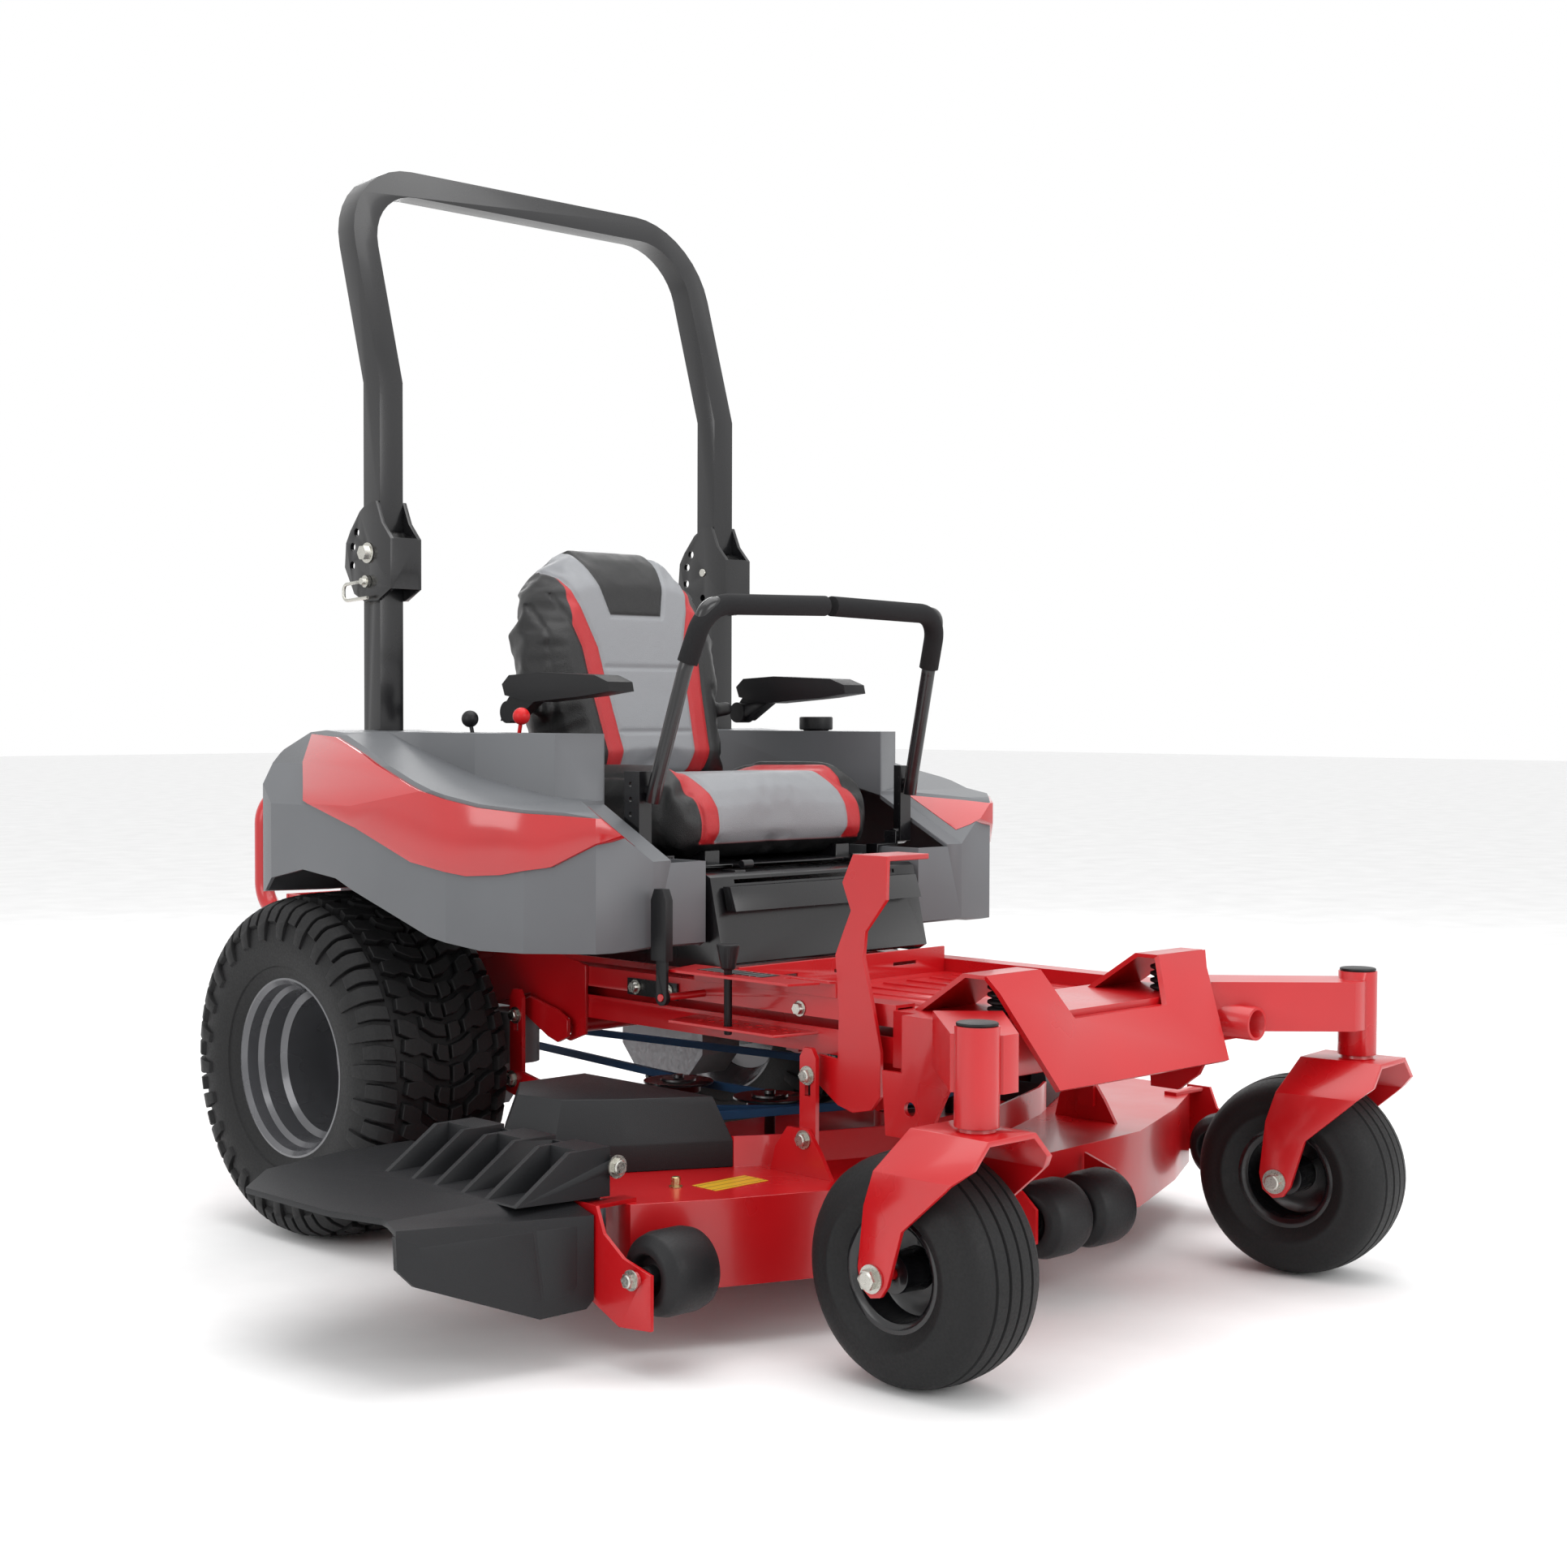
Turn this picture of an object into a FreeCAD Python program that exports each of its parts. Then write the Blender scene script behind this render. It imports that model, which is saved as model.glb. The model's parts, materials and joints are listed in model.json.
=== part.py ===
"""Zero turn mower with a folding roll bar, a 60 inch side discharge deck and a suspended seat.

Millimetres, +Z up, front of the machine towards -Y. While it is built, x = 0 is the mid-plane,
y = 0 is the rear axle and z = 0 is the ground; every solid is shifted once, at export, so that
the origin lies under the middle of the whole machine. The machine's right side is towards -X.
"""
import FreeCAD, Part
import math
import os

V = FreeCAD.Vector

# ---- driving dimensions -------------------------------------------------------------------
RIGHT, LEFT = -1, 1
SIDES = {"r": RIGHT, "l": LEFT}

DRIVE_R, DRIVE_W, DRIVE_X = 305.0, 300.0, 528.0         # 24 x 12 - 12 tyres
DRIVE_DISC_X = 462.0
CASTER_R, CASTER_W = 165.0, 165.0                       # 13 x 6.50 - 6 tyres
CASTER_X, CASTER_Y, CASTER_TRAIL = 484.0, -1418.0, 94.0
CASTER_TUBE_R, CASTER_TUBE_BORE = 31.0, 17.5
CASTER_YAW = {RIGHT: 0.0, LEFT: 8.0}                   # degrees, as parked
TUBE_Z0, TUBE_Z1 = 372.0, 509.0

RAIL_X0, RAIL_X1 = 257.0, 300.0
RAIL_Z0, RAIL_Z1 = 401.0, 490.0
RAIL_FRONT, FRAME_REAR = -1106.0, 540.0
SHEET = 5.0
BEAM_HALF, BEAM_Y0, BEAM_Y1, BEAM_Z0, BEAM_Z1 = 338.0, -1283.0, -1106.0, 397.0, 483.0
RECEIVER_X, RECEIVER_Y, RECEIVER_Z = 292.0, -1352.0, 432.0
WELL_REAR = -724.0
FLOOR_Z = 462.0

ROPS_X, ROPS_Y, ROPS_TUBE = 418.0, 48.0, 51.0
ROPS_PIVOT_Z, ROPS_PIN_Z = 1219.0, 1167.0
KNEE_Z, ROPS_TOP, ROPS_LEAN = 1530.0, 1950.0, 0.29
ROPS_BEND = 135.0

SEAT_HALF = 260.0
SEAT_HINGE_Y, SEAT_HINGE_Z = -618.0, 664.0
ARM_X, ARM_PIVOT_Y, ARM_PIVOT_Z = 292.0, -170.0, 930.0

LEVER_X, LEVER_PIVOT_Y, LEVER_PIVOT_Z = 325.0, -548.0, 700.0
LEVER_TUBE_R, GRIP_R = 12.5, 17.5

PEDAL_Y, PEDAL_Z = -1042.0, 348.0                       # front lift shaft
REAR_LIFT_Y, REAR_LIFT_Z = -339.0, 380.0                # rear lift shaft
LINK_X = 352.0

BRAKE_Y, BRAKE_Z = -684.0, 470.0

DECK_Z0, DECK_Z1 = 90.0, 220.0
SPINDLES = {"r": (-505.0, -680.0), "c": (0.0, -845.0), "l": (505.0, -680.0)}
BLADE_R = 260.0
CHUTE_HINGE_X, CHUTE_HINGE_Z = -700.0, 274.0
CHUTE_Y0, CHUTE_Y1 = -918.0, -432.0
CHUTE_TABS = (-824.0, -562.0)
NOTCH_X, NOTCH_Y = -306.0, -1152.0                      # beam corner cleared for the pedal
ROLLER_X, ROLLER_Y, ROLLER_Z = 690.0, -1035.0, 140.0


# ---- small shape makers ---------------------------------------------------------------------
def box(x0, x1, y0, y1, z0, z1):
    """A block between two corners, given in any order on X."""
    lo, hi = min(x0, x1), max(x0, x1)
    return Part.makeBox(hi - lo, y1 - y0, z1 - z0, V(lo, y0, z0))


def rod(start, end, radius):
    """A round bar between two points."""
    a, b = V(*start), V(*end)
    return Part.makeCylinder(radius, (b - a).Length, a, b - a)


def rod_x(x0, x1, y, z, radius):
    return rod((min(x0, x1), y, z), (max(x0, x1), y, z), radius)


def prism(points, direction):
    """A flat outline swept along a direction."""
    wire = Part.makePolygon([V(*p) for p in points] + [V(*points[0])])
    return Part.Face(wire).extrude(V(*direction))


def plate_x(outline, x0, x1):
    """A plate whose outline is (y, z) points, between two x planes."""
    return prism([(min(x0, x1), y, z) for y, z in outline], (abs(x1 - x0), 0, 0))


def plate_y(outline, y0, y1):
    return prism([(x, y0, z) for x, z in outline], (0, y1 - y0, 0))


def plate_z(outline, z0, z1):
    return prism([(x, y, z0) for x, y in outline], (0, 0, z1 - z0))


def turned(profile, centre, axis=(1, 0, 0)):
    """A solid of revolution: (along, radius) points turned round an axis through a centre."""
    points = [V(r, 0, a) for a, r in profile]
    face = Part.Face(Part.makePolygon(points + [points[0]]))
    solid = face.revolve(V(0, 0, 0), V(0, 0, 1), 360)
    solid.Placement = FreeCAD.Placement(V(*centre), FreeCAD.Rotation(V(0, 0, 1), V(*axis)))
    return solid


def cut(shape, *tools):
    for tool in tools:
        shape = shape.cut(tool)
    return shape


def fuse(*shapes):
    return shapes[0].multiFuse(list(shapes[1:])).removeSplitter()


def group(*shapes):
    return Part.makeCompound(list(shapes))


def mirrored(shape):
    return shape.mirror(V(0, 0, 0), V(1, 0, 0))


def pipe(points, radius, bend):
    """A round bar along straight runs joined by tangent arcs of one bend radius."""
    pts = [V(*p) for p in points]
    edges, start = [], pts[0]
    for before, corner, after in zip(pts, pts[1:], pts[2:]):
        u = (before - corner).normalize()
        w = (after - corner).normalize()
        half = u.getAngle(w) / 2
        reach = bend / math.tan(half)
        mid_dir = (u + w).normalize()
        middle = corner + mid_dir * (bend / math.sin(half) - bend)
        entry, leave = corner + u * reach, corner + w * reach
        edges.append(Part.LineSegment(start, entry).toShape())
        edges.append(Part.Arc(entry, middle, leave).toShape())
        start = leave
    edges.append(Part.LineSegment(start, pts[-1]).toShape())
    circle = Part.Wire(Part.makeCircle(radius, pts[0], pts[1] - pts[0]))
    return Part.Wire(edges).makePipeShell([circle], True, False)


def hex_head(x, y, z, across, height, side):
    """A hexagon bolt head with its washer, standing out along X from the plane at x."""
    r = across / math.sqrt(3)
    ring = [(y + r * math.cos(math.radians(60 * k)), z + r * math.sin(math.radians(60 * k))) for k in range(6)]
    washer = rod_x(x, x + side * 2.5, y, z, across * 0.78)
    return fuse(washer, plate_x(ring, x + side * 2.5, x + side * (2.5 + height)))


NODES = {}


def node(name, *shapes):
    NODES[name] = shapes[0] if len(shapes) == 1 else group(*shapes)


# ---- main frame ---------------------------------------------------------------------------
def frame_rails():
    """Two channel rails, open outwards, with the height-of-cut plates on the right one."""
    def rail(side):
        inner, outer = side * RAIL_X0, side * RAIL_X1
        web = box(inner, inner + side * SHEET, RAIL_FRONT, FRAME_REAR, RAIL_Z0, RAIL_Z1)
        low = box(inner, outer, RAIL_FRONT, FRAME_REAR, RAIL_Z0, RAIL_Z0 + SHEET)
        high = box(inner, outer, RAIL_FRONT, FRAME_REAR, RAIL_Z1 - SHEET, RAIL_Z1)
        lip = box(outer - side * SHEET, outer, RAIL_FRONT, FRAME_REAR, RAIL_Z1 - 34, RAIL_Z1)
        foot = box(outer - side * SHEET, outer, RAIL_FRONT, FRAME_REAR, RAIL_Z0, RAIL_Z0 + 40)
        hanger = plate_x([(-1094, RAIL_Z0), (-1072, 330), (PEDAL_Y, 318), (-1012, 330), (-990, RAIL_Z0)],
                         side * 264, side * 270)
        hanger = cut(hanger, rod_x(-300, 300, PEDAL_Y, PEDAL_Z, 13.4))
        return fuse(web, low, high, lip, foot, hanger)
    x0, x1 = -RAIL_X1, -384.0
    top = plate_z([(x0, -985), (x1, -960), (x1, -690), (x0, -665)], 512, 516)
    skirt = box(x0, x0 - 4, -985, -665, RAIL_Z1, 516)
    low = plate_z([(x0, -945), (x1, -930), (x1, -690), (x0, -670)], 430, 434)
    holes = [rod((px, py, 425), (px, py, 520), 6.2)
             for px in (-322, -346) for py in range(-920, -700, 28)]
    pin_hole = rod((-362, -806, 425), (-362, -806, 520), 8.0)
    top = cut(top, pin_hole, box(-330, -314, -1000, -898, 500, 520))
    low = cut(low, pin_hole, *holes)
    brake_pin = rod_x(x0, -397, BRAKE_Y, BRAKE_Z, 6)
    right = fuse(rail(RIGHT), top, skirt, low, brake_pin)
    return group(right, rail(LEFT))


def front_crossbeam():
    """Box beam ahead of the footwell, its two arms, the caster tubes and the jack receiver."""
    beam = box(-BEAM_HALF, BEAM_HALF, BEAM_Y0, BEAM_Y1, BEAM_Z0, BEAM_Z1)
    notch = box(-400, NOTCH_X, NOTCH_Y, -1000, 300, 600)
    hollow = box(-BEAM_HALF + SHEET, BEAM_HALF - SHEET, BEAM_Y0 + SHEET, BEAM_Y1 - SHEET, BEAM_Z0 + SHEET,
                 BEAM_Z1 - SHEET)
    wider_notch = box(-400, NOTCH_X + SHEET, NOTCH_Y - SHEET, -1000, 300, 600)
    solids = [cut(beam, notch, cut(hollow, wider_notch))]
    for side in (RIGHT, LEFT):
        arm = plate_z([(side * 264, BEAM_Y0), (side * BEAM_HALF, -1212), (side * 500, -1384),
                       (side * 462, -1446), (side * 430, -1446)], 416, 496)
        arm = cut(arm, box(-BEAM_HALF, BEAM_HALF, BEAM_Y0, -1000, 300, BEAM_Z1))
        core = rod((side * CASTER_X, CASTER_Y, TUBE_Z0), (side * CASTER_X, CASTER_Y, TUBE_Z1), CASTER_TUBE_R)
        bore = rod((side * CASTER_X, CASTER_Y, 300), (side * CASTER_X, CASTER_Y, 600), CASTER_TUBE_BORE)
        solids.append(cut(fuse(arm, core), bore))
        gusset = plate_x([(-1175, 300), (-1120, 300), (-1112, BEAM_Z0), (-1250, BEAM_Z0), (-1215, 330)],
                         side * (BEAM_HALF - 8), side * BEAM_HALF)
        solids.append(cut(gusset, rod_x(-400, 400, -1168, 345, 11)))
    socket = rod((RECEIVER_X, BEAM_Y0, RECEIVER_Z), (RECEIVER_X, RECEIVER_Y, RECEIVER_Z), 27)
    bore = rod((RECEIVER_X, BEAM_Y0 - 9, RECEIVER_Z), (RECEIVER_X, RECEIVER_Y - 60, RECEIVER_Z), 22)
    return cut(solids[0].multiFuse(solids[1:] + [socket]), bore)


def floor_pan():
    floor = box(-RAIL_X0, RAIL_X0, BEAM_Y1, WELL_REAR, FLOOR_Z, FLOOR_Z + SHEET)
    back = box(-RAIL_X0, RAIL_X0, WELL_REAR, WELL_REAR + SHEET, FLOOR_Z - 40, 512)
    slots = [box(x, x + 60, WELL_REAR - 5, WELL_REAR + 10, 486, 492) for x in (-180, -30, 120)]
    ribs = [box(x, x + 12, -1060, -780, FLOOR_Z + SHEET, FLOOR_Z + SHEET + 3) for x in range(-210, 211, 60)]
    return fuse(floor, cut(back, *slots), *ribs)


def footrest():
    """Folded plate standing over the beam: a slanted face, two raised toe stops and their back legs."""
    face = plate_x([(-1351, 382), (-1342, 378), (-1255, 541), (-1262, 546)], -278, 278)
    outline = [(-212, 370), (-262, 520), (-278, 546), (-150, 546), (-117, 473), (117, 473),
               (150, 546), (278, 546), (262, 520), (212, 370)]
    face = face.common(plate_y(outline, -1400, -1200))
    solids = [cut(face, rod((RECEIVER_X, -1400, RECEIVER_Z), (RECEIVER_X, -1200, RECEIVER_Z), 29))]
    for side in (RIGHT, LEFT):
        cap = box(side * 150, side * 276, -1258, -1216, 540, 546)
        leg = plate_x([(-1216, 546), (-1221, 540), (-1136, BEAM_Z1), (-1122, BEAM_Z1)], side * 150, side * 276)
        solids += [cap, leg]
    lip = box(-117, 117, -1300, BEAM_Y0 - 1.5, 468, 473)
    return fuse(*solids, lip)


def footrest_bellows():
    """Ribbed rubber boots over the footrest springs, on the beam under each toe stop."""
    ribs = []
    for k in range(4):
        z = BEAM_Z1 + 4 + 11 * k
        ribs += [(z - 4, 18), (z, 26), (z + 4, 26), (z + 7, 18)]
    profile = [(BEAM_Z1, 0)] + ribs + [(BEAM_Z1 + 50, 18), (BEAM_Z1 + 50, 0)]
    return [turned(profile, (side * 205, -1222 - 16, 0), (0, 0, 1)) for side in (RIGHT, LEFT)]


def rear_frame():
    """Side plates, engine plate, rear cross plate with the hitch hole, and the tubular guard."""
    plates = []
    for side in (RIGHT, LEFT):
        outline = [(-392, 492), (-392, 372), (-350, 356), (-316, 362), (-298, 401), (-240, 401),
                   (-240, 430), (-120, 398), (120, 398), (FRAME_REAR, 420), (FRAME_REAR, 560), (130, 560),
                   (100, 628), (0, 628), (-60, 560)]
        plate = plate_x(outline, side * (RAIL_X1 + 0.5), side * (RAIL_X1 + 6.5))
        shelf = box(side * (RAIL_X1 + 0.5), side * 452, 20, 70, 618, 628)
        plates.append(fuse(cut(plate, rod_x(-400, 400, REAR_LIFT_Y, REAR_LIFT_Z, 17)), shelf))
    engine_plate = box(-RAIL_X1 - 0.5, RAIL_X1 + 0.5, 20, FRAME_REAR, RAIL_Z1 + 1, RAIL_Z1 + 9)
    engine_plate = cut(engine_plate, rod((0, 250, 400), (0, 250, 600), 24))
    rear = box(-RAIL_X1 - 6.5, RAIL_X1 + 6.5, FRAME_REAR, FRAME_REAR + 8, 300, 560)
    rear = cut(rear, rod((0, 500, 330), (0, 600, 330), 9.5))
    guard = pipe([(-300, FRAME_REAR + 8, 520), (-300, 640, 520), (-300, 640, 760), (300, 640, 760),
                  (300, 640, 520), (300, FRAME_REAR + 8, 520)], 19, 60)
    bar = rod((-300, 640, 590), (300, 640, 590), 16)
    return group(*plates, engine_plate, rear), fuse(guard, bar)


def transaxles():
    """Cast hydrostatic drives, one per side, each with a cooling fan housing and an output shaft."""
    out = []
    for side in (RIGHT, LEFT):
        case = plate_x([(-120, 250), (-80, 205), (80, 205), (120, 250), (120, 360), (70, 394), (-70, 394),
                        (-120, 360)], side * 228, side * 330)
        neck = rod_x(side * 330, side * 385, 0, DRIVE_R, 48)
        shaft = rod_x(side * 385, side * 446, 0, DRIVE_R, 17)
        ribs = [rod_x(side * x, side * (x + 7), 0, DRIVE_R, 66) for x in (334, 346, 358)]
        pump = rod((side * 286, -168, 300), (side * 286, -168, 392), 46)
        tie = box(side * 255, side * 315, -170, -110, 300, 340)
        out.append(fuse(case, neck, shaft, *ribs, pump, tie))
    return out


def engine():
    """Vertical-shaft V-twin: crankcase, two finned cylinders, blower housing, air cleaner, muffler."""
    base = RAIL_Z1 + 9
    case = plate_z([(-150, 120), (-110, 80), (110, 80), (150, 120), (150, 380), (110, 420), (-110, 420),
                    (-150, 380)], base, base + 130)
    shaft = rod((0, 250, 340), (0, 250, base), 14.3)
    clutch = fuse(rod((0, 250, 238), (0, 250, 345), 50), rod((0, 250, 232), (0, 250, 238), 64))
    barrels = []
    for side in (RIGHT, LEFT):
        for k in range(7):
            x = side * (152 + 13 * k)
            barrels.append(box(x, x + side * 7, 150, 330, base + 8, base + 118))
        barrels.append(box(side * 148, side * 240, 180, 300, base + 22, base + 104))
        barrels.append(box(side * 240, side * 262, 160, 320, base + 10, base + 116))
    block = fuse(case, *barrels)
    drive = fuse(shaft, clutch)
    screen = rod((0, 250, base + 225), (0, 250, base + 245), 120)
    blower = fuse(Part.makeCone(178, 160, 95, V(0, 250, base + 130)), screen)
    canister = rod((-150, 455, base + 170), (150, 455, base + 170), 62)
    intake = box(-40, 40, 390, 455, base + 140, base + 190)
    blower = cut(fuse(blower, intake, canister), block)
    muffler = rod((-190, 480, base + 53), (190, 480, base + 53), 47)
    stub = rod((225, 480, base + 53), (150, 480, base + 53), 17)
    stub = cut(stub, rod((196, 480, base + 53), (240, 480, base + 53), 14))
    return group(block, drive), blower, fuse(muffler, stub)


# ---- seat box, pods and roll bar -----------------------------------------------------------
def seat_box():
    """Black folded box that carries the seat; its front panel leans back over the footwell."""
    outer = [(-684, 513), (-650, 655), (-640, 660), (-150, 660), (-150, 500), (-660, 500)]
    inner = [(-678, 495), (-646, 650), (-636, 655), (-155, 655), (-155, 495)]
    shell = cut(plate_x(outer, -254, 254), plate_x(inner, -250, 250))
    window = box(-215, 215, -560, -200, 640, 670)
    ledge = plate_x([(-668, 600), (-690, 600), (-676, 640), (-658, 640)], -232, 232)
    hinge = [box(x, x + 24, -634, -602, 660, 664 - 0.5) for x in (-180, 156)]
    posts = []
    for side in (RIGHT, LEFT):
        posts.append(fuse(box(side * 254, side * 258, -562, -534, 600, 688),
                          box(side * 254, side * 310.5, -562, -534, 684.5, 688),
                          rod_x(side * 306, side * 342, LEVER_PIVOT_Y, LEVER_PIVOT_Z, 6),
                          box(side * 304, side * 310.5, -562, -534, 684.5, 710)))
    slot = box(-200, 200, -700, -640, 643, 650)
    return group(fuse(cut(shell, window, slot), ledge, *hinge), *posts)


POD_PLAN = [(-266, -652), (-385, -654), (-490, -634), (-575, -556), (-628, -420), (-652, -190), (-652, 60),
            (-632, 118), (-480, 140), (-345, 140), (-345, -330), (-266, -340)]
POD_HOLLOW_PLAN = [(-273, -645), (-382, -646), (-486, -627), (-568, -551), (-621, -417), (-645, -188),
                   (-645, 58), (-628, 110), (-480, 132), (-352, 132), (-352, -336), (-273, -346)]
POD_WIDE_PLAN = [(-257, -657), (-387, -659), (-494, -638), (-580, -559), (-632, -421), (-656, -190),
                 (-656, 61), (-635, 122), (-480, 145), (-340, 145), (-340, -330), (-250, -340)]
POD_SIDE = [(140, 602), (100, 612), (60, 636), (-39, 656), (-140, 646), (-260, 604), (-380, 562), (-480, 545),
            (-640, 543), (-672, 560), (-676, 720), (-660, 754), (-600, 770), (-480, 782), (-330, 815),
            (-150, 862), (-20, 893), (40, 897), (84, 893), (122, 862), (150, 740)]
POD_SECTION = [(-660, 480), (-656, 744), (-652, 768), (-609, 838), (-558, 888), (-539, 905), (0, 905), (0, 480)]
CONSOLE_PLAN = [(-348, -486), (-425, -452), (-476, -300), (-474, -150), (-452, -8), (-452, 14), (-345, 14),
                (-345, -486)]
PANEL = [(66, 890), (-20, 885), (-150, 855), (-330, 808), (-480, 776), (-600, 765), (-664, 757), (-640, 722),
         (-589, 683), (-520, 669), (-459, 665), (-340, 683), (-201, 735), (-42, 776), (-20, 800)]


def shrunk(points, amount, centre):
    """The same outline with every point drawn towards a centre by about one amount."""
    out = []
    for a, b in points:
        da, db = centre[0] - a, centre[1] - b
        length = math.hypot(da, db)
        out.append((a + da * amount / length, b + db * amount / length))
    return out


def nose_slopes(drop):
    """What is taken off the pod's top ahead of the console, where it falls away to the footwell."""
    flat = [(-200, -700, 664 - drop), (-200, -486, 775 - drop), (-385, -486, 775 - drop), (-385, -700, 664 - drop)]
    flank = [(-385, -700, 664 - drop), (-385, -486, 775 - drop), (-520, -486, 863 - drop), (-520, -700, 752 - drop)]
    return prism(flat, (0, 0, 300)), prism(flank, (0, 0, 300))


def pod_body():
    outer = plate_z(POD_PLAN, 520, 900).common(plate_x(POD_SIDE, -700, 0))
    return cut(outer.common(plate_y(POD_SECTION, -700, 200)), *nose_slopes(0))


def pod(side):
    """Moulded fender pod with its console box, a cup holder and, on the left, the filler neck."""
    roof = [(a, b - 7) for a, b in POD_SIDE[9:]]
    hollow_side = [(150, 500), (POD_SIDE[9][0] + 7, 500)] + [(max(-665, a), b) for a, b in roof[1:]]
    hollow_section = [(x + 7, z - 3) for x, z in POD_SECTION[:-2]] + [(0, 902), (0, 470)]
    inner = plate_z(POD_HOLLOW_PLAN, 480, 900).common(plate_x(hollow_side, -700, 0))
    inner = cut(inner.common(plate_y(hollow_section, -700, 200)), *nose_slopes(8))
    console = plate_z(CONSOLE_PLAN, 700, 894)
    console_hollow = plate_z(shrunk(CONSOLE_PLAN, 7, (-410, -200)), 650, 887)
    shell = cut(fuse(pod_body(), console), inner, console_hollow)
    shell = cut(shell, box(-345, -200, -700, -300, 684, 960))
    cup_y = -92
    cup = rod((-412, cup_y, 806), (-412, cup_y, 894), 44)
    shell = cut(fuse(shell, cup), rod((-412, cup_y, 812), (-412, cup_y, 960), 40))
    slots = [box(x - 5, x + 5, y - 32, y + 32, 880, 900) for x, y in ((-402, -205), (-384, -300))]
    shell = cut(shell, box(-446.5, -389.5, 19.5, 76.5, 500, 960))
    if side == RIGHT:
        return cut(shell, *slots)
    filler = cut(shell, rod((-404, -260, 880), (-404, -260, 900), 30))
    return mirrored(filler)


def side_panel(side):
    """Glossy inset panel that follows the pod's outer wall."""
    wide_section = [(x - 4, z + 3) for x, z in POD_SECTION[:-2]] + [(0, 908), (0, 480)]
    skin = plate_z(POD_WIDE_PLAN, 600, 910).common(plate_x(PANEL, -700, -400))
    skin = cut(skin.common(plate_y(wide_section, -700, 200)), pod_body())
    return skin if side == RIGHT else mirrored(skin)


def rops_lower():
    """Square-tube uprights bolted to the rear frame, open at the top for the hinge."""
    out = []
    for side in (RIGHT, LEFT):
        x, h = side * ROPS_X, ROPS_TUBE / 2
        tube = box(x - h, x + h, ROPS_Y - h, ROPS_Y + h, 628, ROPS_PIVOT_Z + 26)
        core = box(x - h + 5, x + h - 5, ROPS_Y - h + 5, ROPS_Y + h - 5, 636, ROPS_PIVOT_Z + 40)
        holes = rod_x(x - 60, x + 60, ROPS_Y, ROPS_PIVOT_Z, 8.5)
        pin = rod_x(x - 60, x + 60, ROPS_Y, ROPS_PIN_Z, 7)
        out.append(cut(tube, core, holes, pin))
    return out


def rops_hoop():
    """Upper hoop of square tube with a rearward knee, and the hinge plates welded to its feet."""
    h = ROPS_TUBE / 2
    top_y = ROPS_Y + ROPS_LEAN * (ROPS_TOP - h - KNEE_Z)
    def band(shift):
        lean = [(ROPS_Y + shift, 1258), (ROPS_Y + shift, KNEE_Z), (top_y + shift, ROPS_TOP - h)]
        over = (lean[2][0] + ROPS_LEAN * 80, lean[2][1] + 80)
        return [lean[0], lean[1], over]
    side_view = band(-h) + list(reversed(band(h)))
    outer_x, inner_x = ROPS_X + h, ROPS_X - h
    def arch(x, z, r):
        arcs = []
        for k in range(0, 10):
            a = math.radians(10 * k)
            arcs.append((x - r + r * math.cos(a), z - r + r * math.sin(a)))
        right = [(x, 1258)] + arcs
        return right + [(-a, b) for a, b in reversed(right)]
    outer = plate_y(arch(outer_x, ROPS_TOP, ROPS_BEND + h), -200, 500)
    inner = plate_y(arch(inner_x, ROPS_TOP - ROPS_TUBE, ROPS_BEND - h), -200, 500)
    hoop = cut(outer, inner).common(plate_x(side_view, -460, 460))
    plates = []
    outline = [(48, 1312), (74, 1296), (104, 1262), (118, 1240), (122, 1196), (92, 1146), (62, 1132), (18, 1132),
               (-22, 1152), (-22, 1242), (6, 1272), (24, 1312)]
    for side in (RIGHT, LEFT):
        for edge in (-1, 1):
            x0 = side * ROPS_X + edge * (h + 0.5)
            plate = plate_x(outline, x0, x0 + edge * 8)
            holes = [rod_x(-480, 480, y, z, r) for y, z, r in
                     ((84, 1258, 8), (96, 1232, 8), (98, 1198, 8), (ROPS_Y, ROPS_PIVOT_Z, 8.5), (ROPS_Y, ROPS_PIN_Z, 7))]
            plates.append(cut(plate, *holes))
        plates.append(box(side * ROPS_X - h - 0.5, side * ROPS_X + h + 0.5, -22, -17, 1152, 1244))
        plates.append(box(side * ROPS_X - h - 0.6, side * ROPS_X + h + 0.6, 28, 68, 1262, 1306))
    return fuse(hoop, *plates)


def lock_pin(side):
    """Wire-handled pin that holds the roll bar up; its shank stops inside the outer hinge plate."""
    face = side * (ROPS_X + ROPS_TUBE / 2 + 8.5)
    shank = rod_x(face - side * 7.6, face + side * 16, ROPS_Y, ROPS_PIN_Z, 6.2)
    collar = rod_x(face + side * 0.6, face + side * 8, ROPS_Y, ROPS_PIN_Z, 11)
    x = face + side * 12
    loop = pipe([(x, ROPS_Y, ROPS_PIN_Z), (x, ROPS_Y + 60, ROPS_PIN_Z - 4), (x, ROPS_Y + 60, ROPS_PIN_Z - 34),
                 (x, ROPS_Y - 16, ROPS_PIN_Z - 30)], 3.2, 12)
    return fuse(shank, collar, loop)


# ---- seat ------------------------------------------------------------------------------------
def seat_base():
    """Tilting seat plate with its two slide rails and the hinge eyes at the front."""
    plate = box(-225, 225, -596, -110, 666, 671)
    rails = [box(x, x + 34, -560, -140, 671, 692.6) for x in (-180, 146)]
    eyes = [rod_x(x, x + 24, SEAT_HINGE_Y, 672, 7) for x in (-150, 126)]
    necks = [box(x, x + 24, SEAT_HINGE_Y, -590, 667, 671) for x in (-150, 126)]
    return fuse(plate, *rails, *eyes, *necks)


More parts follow.
